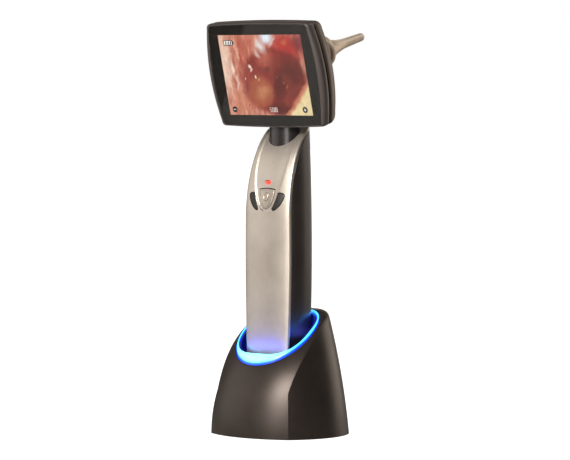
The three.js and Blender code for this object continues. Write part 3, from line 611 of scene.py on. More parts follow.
def cradle_column(foot_angle, crease, opening_angle):
    """One line of the cradle's skin, from its foot over the crease to the ring's opening.

    crease is (direction, height), or None in front, where the face itself reaches the bottom.
    """
    bottom = CONE["bottom"]
    opening = superellipse(RING_OUTER, opening_angle, -GAP - LIP["round"])
    if crease is None:
        outer = cone_at(foot_angle, bottom)
        share = bisect(lambda t: face_height(*between(opening, outer, t)) > bottom, 0.0, 1.0)
        top = between(opening, outer, share)
        side = [(*top, bottom)] * 2
        length = 0.0
    else:
        direction, height = crease
        top = cone_at(direction, height)
        side = []
        for share in (i / 40 for i in range(41)):
            z = bottom + (height - bottom) * share
            side.append((*cone_at(foot_angle + (direction - foot_angle) * share, z), z))
        length = sum(math.dist(a, b) for a, b in zip(side, side[1:]))
    face = []
    for i in range(241):
        x, y = between(top, opening, (i / 240) ** 2)
        face.append((x, y, max(side[-1][2], face_height(x, y))))
    face[0] = side[-1]
    rear = max(0.0, math.sin(foot_angle)) ** 2
    radius = min(CREASE["front_radius"] + CREASE["rear_radius"] * rear, 0.45 * length)
    if radius < 0.02:
        wall = [side[-1]] * WALL_POINTS
        blend = [side[-1]] * CREASE_POINTS
        top_line = evenly(face, FACE_POINTS)
    else:
        wall = evenly(cut_from(side[::-1], radius)[::-1], WALL_POINTS)
        top_line = evenly(cut_from(face, radius), FACE_POINTS)
        shares = ((k + 1) / (CREASE_POINTS + 1) for k in range(CREASE_POINTS))
        blend = [bezier(wall[-1], side[-1], top_line[0], share) for share in shares]
    edge = Vector(top_line[-1])
    slope = (edge - Vector(top_line[-2])).normalized()
    lip = []
    for k in range(1, 4):
        turn = k / 3 * math.pi / 2
        drop = Vector((0, 0, LIP["drop"] * (1 - math.cos(turn))))
        lip.append(tuple(edge + slope * LIP["round"] * math.sin(turn) - drop))
    lip.append(tuple(Vector(lip[-1]) - Vector((0, 0, LIP["depth"]))))
    return wall + blend + top_line + lip


def cradle_columns():
    """All the lines of the cradle's skin, from the front right corner round the rear and the front."""
    low_steps, high_steps, front_steps = 26, 30, 30
    creases = []
    for i in range(low_steps):
        z = CONE["bottom"] + 0.1 + (CREASE["turning"] - CONE["bottom"]) * i / low_steps
        creases.append((crease_angle(z), z))
    start = crease_angle(CREASE["turning"])
    for i in range(high_steps + 1):
        angle = start + (math.pi / 2 - start) * i / high_steps
        creases.append((angle, crease_height(angle)))
    corner = creases[0][0]
    last = len(creases) - 1
    right = []
    for i, crease in enumerate(creases):
        spread = corner + (math.pi / 2 - corner) * i / last
        right.append(cradle_column(spread, crease, spread))
    left = [[(-x, y, z) for x, y, z in column] for column in right[-2::-1]]
    front = []
    for i in range(1, front_steps):
        angle = math.pi - corner + (math.pi + 2 * corner) * i / front_steps
        front.append(cradle_column(angle, None, angle))
    return right + left + front


def shell_lining(column):
    """The hidden side of one line of the skin: in under its lip and down to inside its foot."""
    foot, lip = Vector(column[0]), Vector(column[-1])
    outward = (foot - Vector((0, RING_OUTER["y"], 0))).to_2d().normalized().to_3d()
    under = (lip.x * 1.04, lip.y * 1.04, lip.z - 2.0)
    return [tuple(lip - Vector((0, 0, 0.2))), under, tuple(foot - outward * CRADLE_WALL)]


def build_cradle_shell():
    columns = [column + shell_lining(column) for column in cradle_columns()]
    shell = make_object("cradle_shell_looks", *loft(list(zip(*columns)), wrap=True), sharp=50)
    inlet = cylinder_tool(DC_INLET["radius"], (0, 30, DC_INLET["z"]), (0, 60, DC_INLET["z"]), 32)
    carve(shell, [inlet], sharp=50)
    piece(shell, "cradle", "cradle_body", "cradle_body", "cradle_shell")


def build_light_ring():
    """The light guide: a rounded band between the two ring outlines, following the curved face."""
    section = [(0.0, -RING_DEPTH)]
    for k in range(9):
        turn = math.pi * k / 8
        lift = RING_PROUD * (1 - (1 - math.sin(turn)) ** 1.6)
        section.append((0.5 - 0.5 * math.cos(turn), lift))
    section.append((1.0, -RING_DEPTH))
    rings = []
    for across, lift in section:
        ring = []
        for angle in turns(RING_SIDES):
            x, y = between(superellipse(RING_OUTER, angle), superellipse(RING_INNER, angle), across)
            ring.append((x, y, face_height(x, y, lift)))
        rings.append(ring)
    band = make_object("light_ring_looks", *loft(rings, wrap=True), sharp=60)
    piece(band, "cradle", "ring_diffuser", "ring_diffuser", "light_ring")


def build_socket_liner():
    """A cup inside the ring: its outside from the floor up, then its inside down to the floor."""
    floor_low, floor_high = SOCKET_FLOOR
    outside = [(floor_low, GAP, share) for share in (0.0, 0.5, 1.0)]
    inside = [(floor_high, GAP + 1.2, share) for share in (1.0, 0.8, 0.5, 0.2, 0.04)]
    rings = []
    for base, inset, share in outside + inside + [(floor_high, GAP + 2.2, 0.0)]:
        ring = []
        for angle in turns(RING_SIDES):
            top = face_height(*superellipse(RING_INNER, angle, GAP), -0.1)
            ring.append((*superellipse(RING_INNER, angle, inset), base + (top - base) * share))
        rings.append(ring)
    liner = make_object("socket_liner_looks", *loft(rings), sharp=60)
    carve(liner, [cylinder_tool(PIN_HOLE, (x, 0, 20), (x, 0, 26), 20) for x in PIN_PLACES], sharp=60)
    piece(liner, "cradle", "socket_liner", "socket_liner", "socket_liner")


# ---------------------------------------------------------------- handle


def half_width(z):
    """The handle's half-width at a height: widest in the middle."""
    return HANDLE["half_width"] - (z - HANDLE["widest"]) ** 2 / (2 * HANDLE["side_radius"])


def handle_bow(x):
    """How far the handle's bowed front lies back at a distance from its centre line."""
    return HANDLE["bulge"] - math.sqrt(HANDLE["bulge"] ** 2 - x * x)


def handle_point(station, x, depth):
    """A point behind the handle's front face. Stations up to 1 climb the straight part, 1 to 2 the bend."""
    if station <= 1:
        z = HANDLE["foot"] + (HANDLE["bend_start"] - HANDLE["foot"]) * station
        return (x, HANDLE["front"] + depth + handle_bow(x), z)
    angle = (station - 1) * math.pi / 2
    y = HANDLE["front"] + HANDLE["bend_depth"] - (HANDLE["bend_depth"] - depth) * math.cos(angle)
    return (x, y + handle_bow(x), HANDLE["bend_start"] + (HANDLE["bend_height"] - depth) * math.sin(angle))


def station_at(z):
    """The station of the front face at a height."""
    if z <= HANDLE["bend_start"]:
        return (z - HANDLE["foot"]) / (HANDLE["bend_start"] - HANDLE["foot"])
    return 1 + math.asin(min(1.0, (z - HANDLE["bend_start"]) / HANDLE["bend_height"])) / (math.pi / 2)


def on_front(x, z, depth):
    """A point behind the front face, straight behind the place (x, z) on it."""
    station = station_at(z)
    y = handle_point(station, x, 0)[1]
    if station <= 1:
        return (x, y + depth, z)
    angle = (station - 1) * math.pi / 2
    return (x, y + depth * math.cos(angle) ** 0.5, z - depth * math.sin(angle))


def tongue_half_width(z):
    """Half-width of the sunk tongue-shaped face at a height: round at its tip, then widening."""
    share = min(1.0, max(0.0, (z - TONGUE["bottom"]) / TONGUE["growth"]))
    return TONGUE["half_width"] * math.sqrt(math.sin(share * math.pi / 2))


def plan_limit(y, z):
    """Half-width of the handle's plan section at a depth, rounded at its rear corners."""
    side, radius = half_width(z), HANDLE["rear_radius"]
    past = y - (HANDLE["rear"] - radius)
    if past <= 0:
        return side
    return side - radius + math.sqrt(max(0.0, radius ** 2 - min(past, radius) ** 2))


def front_cover_row(station, on_tongue):
    """One closed loop of the front cover: its face from left to right, then its back."""
    z = handle_point(station, 0, 0)[2]
    side = plan_limit(handle_point(station, 17, 0)[1], z)
    width = min(max(0.5, tongue_half_width(z)), side - 1.2)
    depth = TONGUE["depth"] if on_tongue else 0.0
    outer = side - 0.95
    border = min(width + TONGUE["slope"], outer - 0.1)
    face = [(side, COVER), (side, 1.1), (side, 0.8), (side - 0.14, 0.38), (side - 0.42, 0.1), (outer, 0.0)]
    face += [(outer + (border - outer) * t, 0.0) for t in (0.2, 0.4, 0.6, 0.8, 1.0)]
    ramp = ((0.88, 0.04), (0.74, 0.17), (0.5, 0.5), (0.26, 0.83), (0.12, 0.96), (0.0, 1.0))
    face += [(width + (border - width) * out, depth * share) for out, share in ramp]
    face += [(width * t, depth) for t in (0.8, 0.6, 0.4, 0.2)]
    right = [handle_point(station, x, d) for x, d in face]
    left = [(-x, y, z) for x, y, z in right]
    back_depth = 2.2
    inner = side - HANDLE["wall"]
    back = [(side - 0.4, COVER)] + [(inner * t, back_depth) for t in (1.0, 0.75, 0.5, 0.25)]
    back_right = [handle_point(station, x, d) for x, d in back]
    back_left = [(-x, y, z) for x, y, z in reversed(back_right)]
    middle, back_middle = handle_point(station, 0, depth), handle_point(station, 0, back_depth)
    return [*left, middle, *right[::-1], *back_right, back_middle, *back_left]


def shield_outline(grow=0.0):
    """The centre button's outline: a low point, bowed sides and a nearly flat top."""
    corners = [
        ((0, 144.6 - grow), (3.4 + grow, 145.2 - grow), (4.9 + grow, 149)),
        ((4.9 + grow, 149), (6.4 + grow, 153), (6.6 + grow, 157 + grow)),
        ((6.6 + grow, 157 + grow), (3.3, 157.8 + grow), (0, 157.8 + grow)),
    ]
    half = [bezier(*c, k / CURVE_STEPS) for c in corners for k in range(CURVE_STEPS)]
    half.append((0.0, 157.8 + grow))
    return half + [(-x, z) for x, z in half[-2:0:-1]]


def crescent_outline(sign, grow=0.0):
    """The outline of a side button, which hugs the centre button on the side of the sign."""
    start = (9.9 - grow, 154.8 + grow)
    curves = [
        (start, (8.7 - grow, 149.6), (5.9 - grow, 145.4 - grow)),
        ((5.9 - grow, 145.4 - grow), (5.6, 143.5 - grow), (7.4 + grow, 143.9 - grow)),
        ((7.4 + grow, 143.9 - grow), (12.6 + grow, 146.4 - grow), (14.6 + grow, 152.4)),
        ((14.6 + grow, 152.4), (14.9 + grow, 154.2 + grow), (12.9 + grow, 154.7 + grow)),
        ((12.9 + grow, 154.7 + grow), (11.4, 155.3 + grow), start),
    ]
    return [(sign * x, z) for x, z in (bezier(*c, k / 6) for c in curves for k in range(6))]


def oval_outline(z, wide, tall):
    """An ellipse round a point on the centre line."""
    return [(wide * math.cos(a), z + tall * math.sin(a)) for a in turns(40)]


def shrink(outline, share):
    """An outline drawn towards its middle."""
    middle = tuple(sum(values) / len(outline) for values in zip(*outline))
    return [between(middle, point, share) for point in outline]


def domed(name, outline, depth_front, depth_back, crown=0.25, rim=0.86):
    """A button that follows the handle's front face, with a rounded rim and a slight crown."""
    layers = [
        (1.0, depth_back), (1.0, depth_front + 0.32), (0.985, depth_front + 0.14),
        (0.95, depth_front + 0.03), (rim, depth_front), (rim * 0.66, depth_front - crown * 0.6),
        (rim * 0.33, depth_front - crown * 0.9), (0.05, depth_front - crown),
    ]
    rings = [[on_front(x, z, depth) for x, z in shrink(outline, share)] for share, depth in layers]
    return make_object(name, *loft(rings), sharp=70)


def raised_band(name, outer, inner, depth_front, depth_back):
    """A thin raised band between two outlines on the front face."""
    shoulder = depth_front + 0.3
    layers = [(0.0, depth_back), (0.0, shoulder), (0.25, depth_front), (0.75, depth_front),
              (1.0, shoulder), (1.0, depth_back)]
    rings = [
        [on_front(*between(a, b, across), depth) for a, b in zip(outer, inner)] for across, depth in layers
    ]
    return make_object(name, *loft(rings, wrap=True), sharp=60)


def front_opening(outline):
    """A cutting prism through the front cover."""
    return make_object("tool", *loft([[(x, y, z) for x, z in outline] for y in (-30, 0)]))


def neck_section(grow=0.0):
    """The neck's outline in x and y: deeper in front of its centre line than behind it."""
    section = []
    for angle in turns(72):
        reach = NECK["front"] if math.sin(angle) < 0 else NECK["rear"]
        x = (NECK["half_width"] + grow) * math.cos(angle)
        section.append((x, NECK["y"] + (reach + grow) * math.sin(angle)))
    return section


def neck_tool(heights):
    """The neck with its clearance, between two heights, as a cutting tool."""
    return make_object("tool", *loft([[(x, y, z) for x, y in neck_section(GAP)] for z in heights]))


def build_front_cover():
    bend_share = 81.5 / 90
    stations = [k / 40 for k in range(41)] + [1 + bend_share * k / 60 for k in range(1, 61)]
    tip = station_at(TONGUE["bottom"])
    rows = [(s, s > tip) for s in stations if abs(s - tip) > 0.004]
    rows += [(tip - 0.0008, False), (tip + 0.0008, True)]
    rows += [(station_at(TONGUE["bottom"] + step), True) for step in (0.15, 0.45, 0.9, 1.6, 2.6)]
    loops = [front_cover_row(*row) for row in sorted(rows)]
    cover = make_object("handle_front_looks", *loft(loops), sharp=38)
    openings = [shield_outline(GAP), crescent_outline(1, GAP), crescent_outline(-1, GAP)]
    openings.append(indicator_outline(INDICATOR["gap"]))
    carve(cover, [front_opening(outline) for outline in openings] + [neck_tool(NECK_IN_HANDLE)], sharp=38)
    piece(cover, "handset", "silver_paint", "silver_paint", "handle_front_cover")


def rear_corner(side, rear, radius, steps):
    """Points in x and y round a rear corner of the handle, from its side to its back."""
    return [
        (side - radius + radius * math.cos(t), rear - radius + radius * math.sin(t))
        for t in (math.pi / 2 * i / steps for i in range(1, steps + 1))
    ]


def mirrored(right, z, middle=()):
    """A closed loop at a height, from its right half and the points on its centre line."""
    return [(x, y, z) for x, y in (*right, *middle, *((-x, y) for x, y in reversed(right)))]


def rear_cover_loop(z):
    """The rear cover's outside at a height: slightly swollen sides, round corners, a flat back."""
    side, rear, radius = half_width(z), HANDLE["rear"], HANDLE["rear_radius"]
    start = -8.0
    right = [(side, -20.0)]
    for t in (i / 8 for i in range(8)):
        right.append((side + SIDE_SWELL * math.sin(math.pi * t), start + (rear - radius - start) * t))
    right += rear_corner(side, rear, radius, 12)
    right += [((side - radius) * t, rear) for t in (0.66, 0.33)]
    return mirrored(right, z, [(0.0, rear)])


def front_cover_tool():
    """The room that the front cover takes, with its joint gap, as a cutting tool."""
    rows = []
    for k in range(101):
        station = -0.05 + 2.05 * k / 100
        row = [handle_point(station, -22 + 44 * i / 20, COVER + 0.25) for i in range(21)]
        z = row[-1][2] + (8 if station > 1 else 0)
        rows.append(row + [(22.0, -40.0, z), (-22.0, -40.0, z)])
    rows.append([(x, y, 230.0) for x, y, _ in rows[-1]])
    return make_object("tool", *loft(rows))


def cavity_tool():
    """The hollow inside the rear cover, a wall thickness in from its outside."""
    wall = HANDLE["wall"]
    rows = []
    for z in (HANDLE["foot"] + 2, 60, 100, 140, 180, 215):
        side, rear, radius = half_width(z) - wall, HANDLE["rear"] - wall, HANDLE["rear_radius"] - wall
        rows.append(mirrored([(side, -22.0), (side, rear - radius)] + rear_corner(side, rear, radius, 8), z))
    return make_object("tool", *loft(rows))


def build_rear_cover():
    foot, steps = HANDLE["foot"], 70
    rows = [rear_cover_loop(foot + (HANDLE["top"] - foot) * k / steps) for k in range(steps + 1)]
    cover = make_object("handle_rear_looks", *loft(rows), sharp=38)
    tools = [front_cover_tool(), cavity_tool(), neck_tool(NECK_IN_HANDLE)]
    tools += [cylinder_tool(COUNTERBORE, (x, 11.2, z), (x, 16, z)) for x, z in HANDLE_SCREWS]
    tools += [cylinder_tool(CONTACT_BORE, (x, 0, 20), (x, 0, 30)) for x in PIN_PLACES]
    carve(cover, tools, sharp=38)
    piece(cover, "handset", "black_plastic", "black_plastic", "handle_rear_cover")


def build_buttons():
    """The shield button with its raised outline and oval mark, and the two crescent buttons."""
    face = TONGUE["depth"]
    shield = domed("centre_button_looks", shield_outline(), face - 0.45, BUTTON_BACK, 0.12, 0.9)
    piece(shield, "centre_button", "silver_paint", "button_silver", "centre_button")
    bands = [
        ("outline", shrink(shield_outline(), 0.84), shrink(shield_outline(), 0.76), 0.80),
        ("mark", oval_outline(BUTTON_MARK, 2.4, 2.8), oval_outline(BUTTON_MARK, 1.2, 1.6), 1.10),
    ]
    for name, outer, inner, rise in bands:
        band = raised_band(f"centre_button_{name}", outer, inner, face - rise, face - 0.2)
        piece(band, "centre_button", "silver_paint", "silver_paint")
    for side, sign in (("left", -1), ("right", 1)):
        button = domed(f"{side}_button_looks", crescent_outline(sign), -0.1, BUTTON_BACK)
        piece(button, f"{side}_button", "button_black", "button_black", f"{side}_button")


def indicator_outline(grow=0.0):
    return oval_outline(INDICATOR["z"], INDICATOR["half_width"] + grow, INDICATOR["half_height"] + grow)


def build_indicator():
    lens = domed("indicator_lens_looks", indicator_outline(), TONGUE["depth"] - 0.1, 2.9, 0.2)
    piece(lens, "handset", "red_indicator", "red_indicator", "indicator_led_lens")


def build_neck():
    """The neck, its top cut off along the underside of the leaning head."""
    rings = []
    for share in (0.0, 0.04, 0.3, 0.6, 1.0):
        ring = []
        for x, y in neck_section():
            rise = math.sin(HEAD_LEAN) * (y - HEAD_ORIGIN[1]) - NECK["below_head"]
            top = HEAD_ORIGIN[2] + rise / math.cos(HEAD_LEAN)
            ring.append((x, y, NECK["bottom"] + (top - NECK["bottom"]) * share))
        rings.append(ring)
    neck = make_object("neck_looks", *loft(rings), sharp=50)
    piece(neck, "handset", "black_plastic", "neck_plastic", "neck")


# ---------------------------------------------------------------- head


def head_outline():
    """Barrel-shaped outline of the head, as points in x and z: one half, and the same turned round."""
    side, top = HEAD["half_width"] - HEAD["side_bow"], HEAD["half_height"] - HEAD["top_bow"]
    near_side, near_top = side - HEAD["corner"], top - HEAD["corner"]
    curves = [
        ((side, -near_top), (side + 2 * HEAD["side_bow"], 0), (side, near_top), 20),
        ((side, near_top), (side, top), (near_side, top), 8),
        ((near_side, top), (0, top + 2 * HEAD["top_bow"]), (-near_side, top), 20),
        ((-near_side, top), (-side, top), (-side, near_top), 8),
    ]
    half = [bezier(a, b, c, k / n) for a, b, c, n in curves for k in range(n)]
    return half + [(-x, -z) for x, z in half]


OUTLINE = head_outline()


def head_ring(y, inset_x, inset_z, corner_loss=0.0):
    """The head's outline at a depth, drawn in, and less so at its corners by corner_loss."""
    ring = []
    for x, z in OUTLINE:
        height = z / HEAD["half_height"]
        ring.append((
            x * (1 - inset_x * (1 - corner_loss * height ** 2) / HEAD["half_width"]),
            y,
            z * (1 - inset_z / HEAD["half_height"]),
        ))
    return ring


def window_ring(y, half_x, half_z):
    """The outline pressed into a rectangle."""
    stretch = 1.2
    return [
        (max(-half_x, min(half_x, x * stretch)), y, max(-half_z, min(half_z, z * stretch)))
        for x, z in OUTLINE
    ]


def head_object(name, rings, sharp, wrap=False):
    """A skin over rings that are given in the head's frame."""
    return make_object(name, *loft(rings, wrap=wrap), matrix=HEAD_MATRIX, sharp=sharp)


def build_bezel():
    """The front shell: a rounded lip, the side, and the seats of the panel and the glass inside."""
    lip_wide, lip_tall = HEAD["lip_wide"], HEAD["lip_tall"]
    lip_front, lip_back = HEAD["lip_front"], HEAD["lip_back"]
    end, wall = HEAD["front_end"], HEAD["wall"]
    glass_seat, panel_seat = GLASS[1] + GAP, PANEL["seat"]
    rings = []
    for turn in (math.pi / 2 * (1 - i / 10) for i in range(11)):
        rise = 1 - math.cos(turn)
        y = lip_back - (lip_back - lip_front) * math.sin(turn)
        inset_x, inset_z = (lip_wide - LIP_LAND) * rise, (lip_tall - LIP_LAND / 3) * rise
        rings.append(head_ring(y, inset_x, inset_z, LIP_CORNER_LOSS))
    side = [(3.4, 0.02, 0.02), (end - 0.35, 0.12, 0.06), (end - 0.08, 0.24, 0.16), (end, 0.5, 0.42)]
    rings += [head_ring(*level) for level in side]
    rings += [head_ring(end, wall, wall), head_ring(panel_seat, wall + 0.2, wall + 0.2)]
    for y in (panel_seat, glass_seat):
        rings.append(window_ring(y, PANEL["half_width"] + GAP, PANEL["half_height"] + GAP))
    for y, less_x, less_z in ((glass_seat, 0, 0), (lip_front + 0.12, 0, 0), (lip_front + 0.02, 0.08, 0.05)):
        rings.append(head_ring(y, lip_wide - less_x, lip_tall - less_z, LIP_CORNER_LOSS))
    shell = head_object("head_front_looks", rings, 40, wrap=True)
    piece(shell, "handset", "bezel_plastic", "bezel_plastic", "head_front_bezel")


def glass_ring(y, inset):
    """An outline inside the bezel's lip."""
    return head_ring(y, HEAD["lip_wide"] + inset, HEAD["lip_tall"] + inset, LIP_CORNER_LOSS)


def build_screen():
    """The cover glass, the black border printed behind it, and the display."""
    front, back = GLASS
    levels = ((front, 0.35), (front + 0.05, 0.15), (front + 0.22, 0.04), (back, 0.04))
    glass = head_object("screen_glass_looks", [glass_ring(*level) for level in levels], 8)
    piece(glass, "handset", "screen_glass", "screen_glass", "screen_glass")

    near, far = back + 0.02, back + 0.1
    rings = [glass_ring(near, GAP), window_ring(near, *WINDOW)]
    rings += [window_ring(far, *WINDOW), glass_ring(far, GAP)]
    border = head_object("screen_border", rings, 32, wrap=True)
    piece(border, "handset", "bezel_plastic", "border_ink")

    rings = []
    for y, inset in ((PANEL["front"], 0.2), (PANEL["front"] + 0.2, 0.0), (PANEL["back"], 0.0)):
        x, z = PANEL["half_width"] - inset, PANEL["half_height"] - inset
        rings.append([(-x, y, -z), (x, y, -z), (x, y, z), (-x, y, z)])
    panel = head_object("display_picture", rings, 20)
    piece(panel, "handset", "screen_picture", "screen_picture", "lcd_panel")


# Depths of the screen marks: the lowest layer, then the layers that lie on it.
MARK_BASE, MARK_OVER, MARK_TOP = (1.0, 1.09), (0.93, 0.99), (0.86, 0.92)


def flat_mark(name, outlines, material, depths=MARK_BASE):
    """A small screen mark: flat outlines with a little thickness, just in front of the display."""
    points, faces = [], []
    for outline in outlines:
        part_points, part_faces = loft([[(x, depth, z) for x, z in outline] for depth in depths])
        start = len(points)
        points += part_points
        faces += [tuple(start + i for i in face) for face in part_faces]
    mark = make_object(name, points, faces, matrix=HEAD_MATRIX, sharp=20)
    piece(mark, "handset", "screen_picture", material)


def bar(x0, x1, z0, z1, lean=0.0):
    """A four-cornered stroke, its upper end moved right by lean."""
    return [(x0, z0), (x1, z0), (x1 + lean, z1), (x0 + lean, z1)]


SEGMENTS = {
    "top": (-0.5, 0.5, 0.86, 1.0), "middle": (-0.5, 0.5, -0.07, 0.07), "bottom": (-0.5, 0.5, -1.0, -0.86),
    "upper_left": (-0.5, -0.3, 0.0, 1.0), "upper_right": (0.3, 0.5, 0.0, 1.0),
    "lower_left": (-0.5, -0.3, -1.0, 0.0), "lower_right": (0.3, 0.5, -1.0, 0.0),
}
DIGITS = {
    5: ("top", "upper_left", "middle", "lower_right", "bottom"),
    0: ("top", "upper_left", "upper_right", "lower_left", "lower_right", "bottom"),
    8: tuple(SEGMENTS),
}


def build_battery_mark():
    left, right, low, high = -30.8, -23.2, 19.4, 23.0
    line, cap = 0.5, 0.9
    case = [bar(left, right, low, high), bar(right, right + cap, low + cap, high - cap)]
    flat_mark("battery_case", case, "icon_dark")
    face = [bar(left + line, right - line, low + line, high - line)]
    flat_mark("battery_face", face, "icon_light", MARK_OVER)
    bars = [bar(x, x + 0.85, low + 0.75, high - 0.75, 0.5) for x in (-29.4, -27.4, -25.4)]
    flat_mark("battery_bars", bars, "icon_dark", MARK_TOP)


def build_zoom_marks():
    """A minus at the lower left and a plus at the lower right, each on a dark disc."""
    z, radius, reach, half_line = -22.6, 2.0, 0.95, 0.25
    for name, x, upright in (("zoom_out_mark", -30.4, False), ("zoom_in_mark", 29.2, True)):
        flat_mark(name, [[(x + px, pz) for px, pz in oval_outline(z, radius, radius)]], "icon_dark")
        strokes = [bar(x - reach, x + reach, z - half_line, z + half_line)]
        if upright:
            strokes.append(bar(x - half_line, x + half_line, z - reach, z + reach))
        flat_mark(f"{name}_sign", strokes, "icon_light", MARK_OVER)


def build_counter():
    start, pitch, z, wide, tall = 0.4, 2.3, -22.7, 1.6, 1.45
    strokes = []
    for place, digit in enumerate((5, 0, 8)):
        centre = start + pitch * place
        for segment in DIGITS[digit]:
            x0, x1, z0, z1 = SEGMENTS[segment]
            strokes.append(bar(centre + wide * x0, centre + wide * x1, z + tall * z0, z + tall * z1))
    flat_mark("counter_digits", strokes, "icon_light")


def rear_levels(wall, steps):
    """(y, inset, inset) of the rear shell's dome, from its edge to its back, a wall thickness inside."""
    depth = HEAD["back"] - wall - HEAD["rear_start"]
    for turn in (math.pi / 2 * i / steps for i in range(steps + 1)):
        rise = 1 - math.cos(turn)
        insets = (REAR_INSET + wall + HEAD[key] * rise for key in ("crown_wide", "crown_tall"))
        yield (HEAD["rear_start"] + 0.05 + depth * math.sin(turn), *insets)


def build_rear_shell():
    start, wall = HEAD["rear_start"], HEAD["wall"]
    edge = [(start + dy, REAR_INSET + inset) for dy, inset in ((0.02, 0.5), (0.12, 0.22), (0.45, 0.05))]
    outer = [head_ring(y, inset, inset) for y, inset in edge]
    outer += [head_ring(*level) for level in list(rear_levels(0, 18))[1:]]
    rim = [(start + 0.02, wall + 0.3), (3.6, wall + 0.3), (3.6, wall + 1.0), (start, wall + 1.0)]
    bridge = [head_ring(y, inset, inset) for y, inset in rim]
    inner = [head_ring(*level) for level in rear_levels(wall, 10)]
    shell = head_object("head_rear_looks", outer[::-1] + bridge + inner, 45)
    tools = [cylinder_tool(COUNTERBORE, (x, 18, z), (x, 26, z), matrix=HEAD_MATRIX) for x, z in HEAD_SCREWS]
    tools.append(neck_tool(NECK_IN_HEAD))
    tools.append(cylinder_tool(11, (0, 16, AXIS_Z), (0, 26, AXIS_Z), 48, HEAD_MATRIX))
    carve(shell, tools, sharp=45)
    piece(shell, "handset", "head_back_plastic", "head_back_plastic", "head_rear_shell")


# ---------------------------------------------------------------- camera and speculum


def turned_object(name, profile, sharp, sides=72, radius_at=None):
    return make_object(name, *turned(profile, sides, radius_at), matrix=HEAD_MATRIX, sharp=sharp)


def build_camera_housing():
    """A flange on the head's back, a plastic cone, and a metal barrel with the lens seat at its end."""
    profile = [(8, 21.9), (15.6, 21.9), (15.9, 22.0), (16.0, 22.3), (16.0, 23.0), (15.8, 23.3), (14.9, 23.6)]
    profile += [(11.6 + 3.0 * ((40.8 - y) / 16.6), y) for y in (24.2, 28, 32, 36, 40.3)]
    profile += [(11.3, 40.8), (9.7, 41.0), (9.7, 56.0), (9.3, 56.4), (6.3, 56.6), (6.3, 61.2), (6.0, 61.5)]
    profile += [(2.05, 61.5), (2.05, 59.5), (4.6, 59.5), (4.6, 52), (8, 52)]
    housing = turned_object("camera_housing_looks", profile, 30)
    finishes = ["head_back_plastic", "champagne_metal"]
    piece(housing, "handset", "head_back_plastic", finishes, "camera_housing")
    to_head = HEAD_MATRIX.inverted()
    for face in housing.data.polygons:
        if (to_head @ face.center).y > METAL_START * MM:
            face.material_index = 1


def fluted(radius, y, angle):
    """The focus ring's radius: its outside is fluted between its two plain edges."""
    if radius < FOCUS["outer"] - 0.6 or not FOCUS["front"] + 0.9 < y < FOCUS["back"] - 0.9:
        return radius
    return radius - FOCUS["flute_depth"] * (0.5 + 0.5 * math.cos(angle * FOCUS["flutes"] * 2)) ** 2


def build_focus_ring():
    inner, outer, front, back = (FOCUS[key] for key in ("inner", "outer", "front", "back"))
    corner = [(outer - 0.6, 0.0), (outer - 0.15, 0.2), (outer, 0.6), (outer, 0.85), (outer, 1.2)]
    profile = [(inner, front + 0.2), (inner + 0.2, front)] + [(r, front + y) for r, y in corner]
    profile.append((outer, front + 4.5))
    profile += [(r, back - y) for r, y in reversed(corner)] + [(inner + 0.2, back), (inner, back - 0.2)]
    ring = turned_object("focus_ring_looks", profile, 40, 256, fluted)
    piece(ring, "focus_ring", "champagne_metal", "champagne_metal", "focus_ring")


def build_speculum():
    """A thin trumpet from a flange to a small round tip, hollow all through."""
    flange = [(6.7, 57.0), (10.1, 57.0), (10.5, 57.15), (10.6, 57.5), (10.6, 59.4), (10.45, 59.8),
              (10.0, 60.1), (8.9, 60.25), (8.3, 60.6)]
    trumpet = smooth_curve([(7.9, 61.4), (7, 64), (5.6, 68), (4.4, 73), (3.6, 77.5), (3.25, 81),
                            (2.95, 90), (2.7, 98)])
    tip = [(2.62, 98.8), (2.5, 99.3), (2.35, 99.5), (2.18, 99.3)]
    inside = [(max(2.15, radius - 0.8), y) for radius, y in trumpet[::-1]][:-1] + [(6.7, 62.8)]
    cone = turned_object("speculum_looks", flange + trumpet + tip + inside, 30, 96)
    piece(cone, "speculum", "champagne_metal", "champagne_metal", "speculum")


def finish_frame_nodes():
    """Gives every CAD node that is still shown the finish its row names."""
    slots = {row["node"]: row["material_slot"] for row in frame["record"]["subparts"]}
    for name, obj in NODES.items():
        obj.data.materials.clear()
        obj.data.materials.append(MATERIAL[slots[name]])


# ---------------------------------------------------------------- stage, light and camera

# Places and sizes of the lights and the camera are in metres.
FLOOR_SIZE = 6000.0
AMBIENT = 0.07
DARK_CARD = [(-900, -700), (-631, -700), (-417, -360), (-900, -360)]
WARM = (1.0, 0.94, 0.87)
WARM_BACK = (1.0, 0.87, 0.74)
GLOW = (0.06, 0.11, 1.0)
LOW, MIDDLE, HIGH = (0, 0, 0.05), (0, 0, 0.14), (0, 0.08, 0.25)
# Each light: name, place, the point it faces, size, power and colour.
LIGHTS = [
    ("key_softbox", (0.13, -0.93, 0.57), LOW, (0.26, 0.24), 10.5, WARM),
    ("front_strip", (0.14, -0.95, 0.22), MIDDLE, (0.34, 0.28), 1.8, WARM),
    ("left_panel", (-0.85, -0.53, 0.38), MIDDLE, (0.8, 0.76), 2.3, WARM),
    ("back_panel", (0.28, 1.16, 0.30), MIDDLE, (0.7, 0.7), 3.0, WARM_BACK),
    ("upper_back_panel", (0.41, 0.74, 0.90), HIGH, (0.6, 0.6), 2.0, WARM),
    ("backdrop", (-0.85, 0.97, 0.25), MIDDLE, (1.1, 0.8), 1.6, WARM_BACK),
]
# Faint lights in the gap beside the handle: (name, x, y, drop, aim x, aim y, length, power).
RING_GLOW = [
    ("foot_glow", 0.0, -19.6, 0.0, 0.0, -15.3, 32.0, 0.013),
    ("side_glow", 23.4, 0.0, 5.0, 19.0, 0.0, 24.0, 0.010),
]
CAMERA = {"place": (1.4031, -1.5962, 0.2312), "around": 41.232, "down": 2.708, "lens": 209.85}


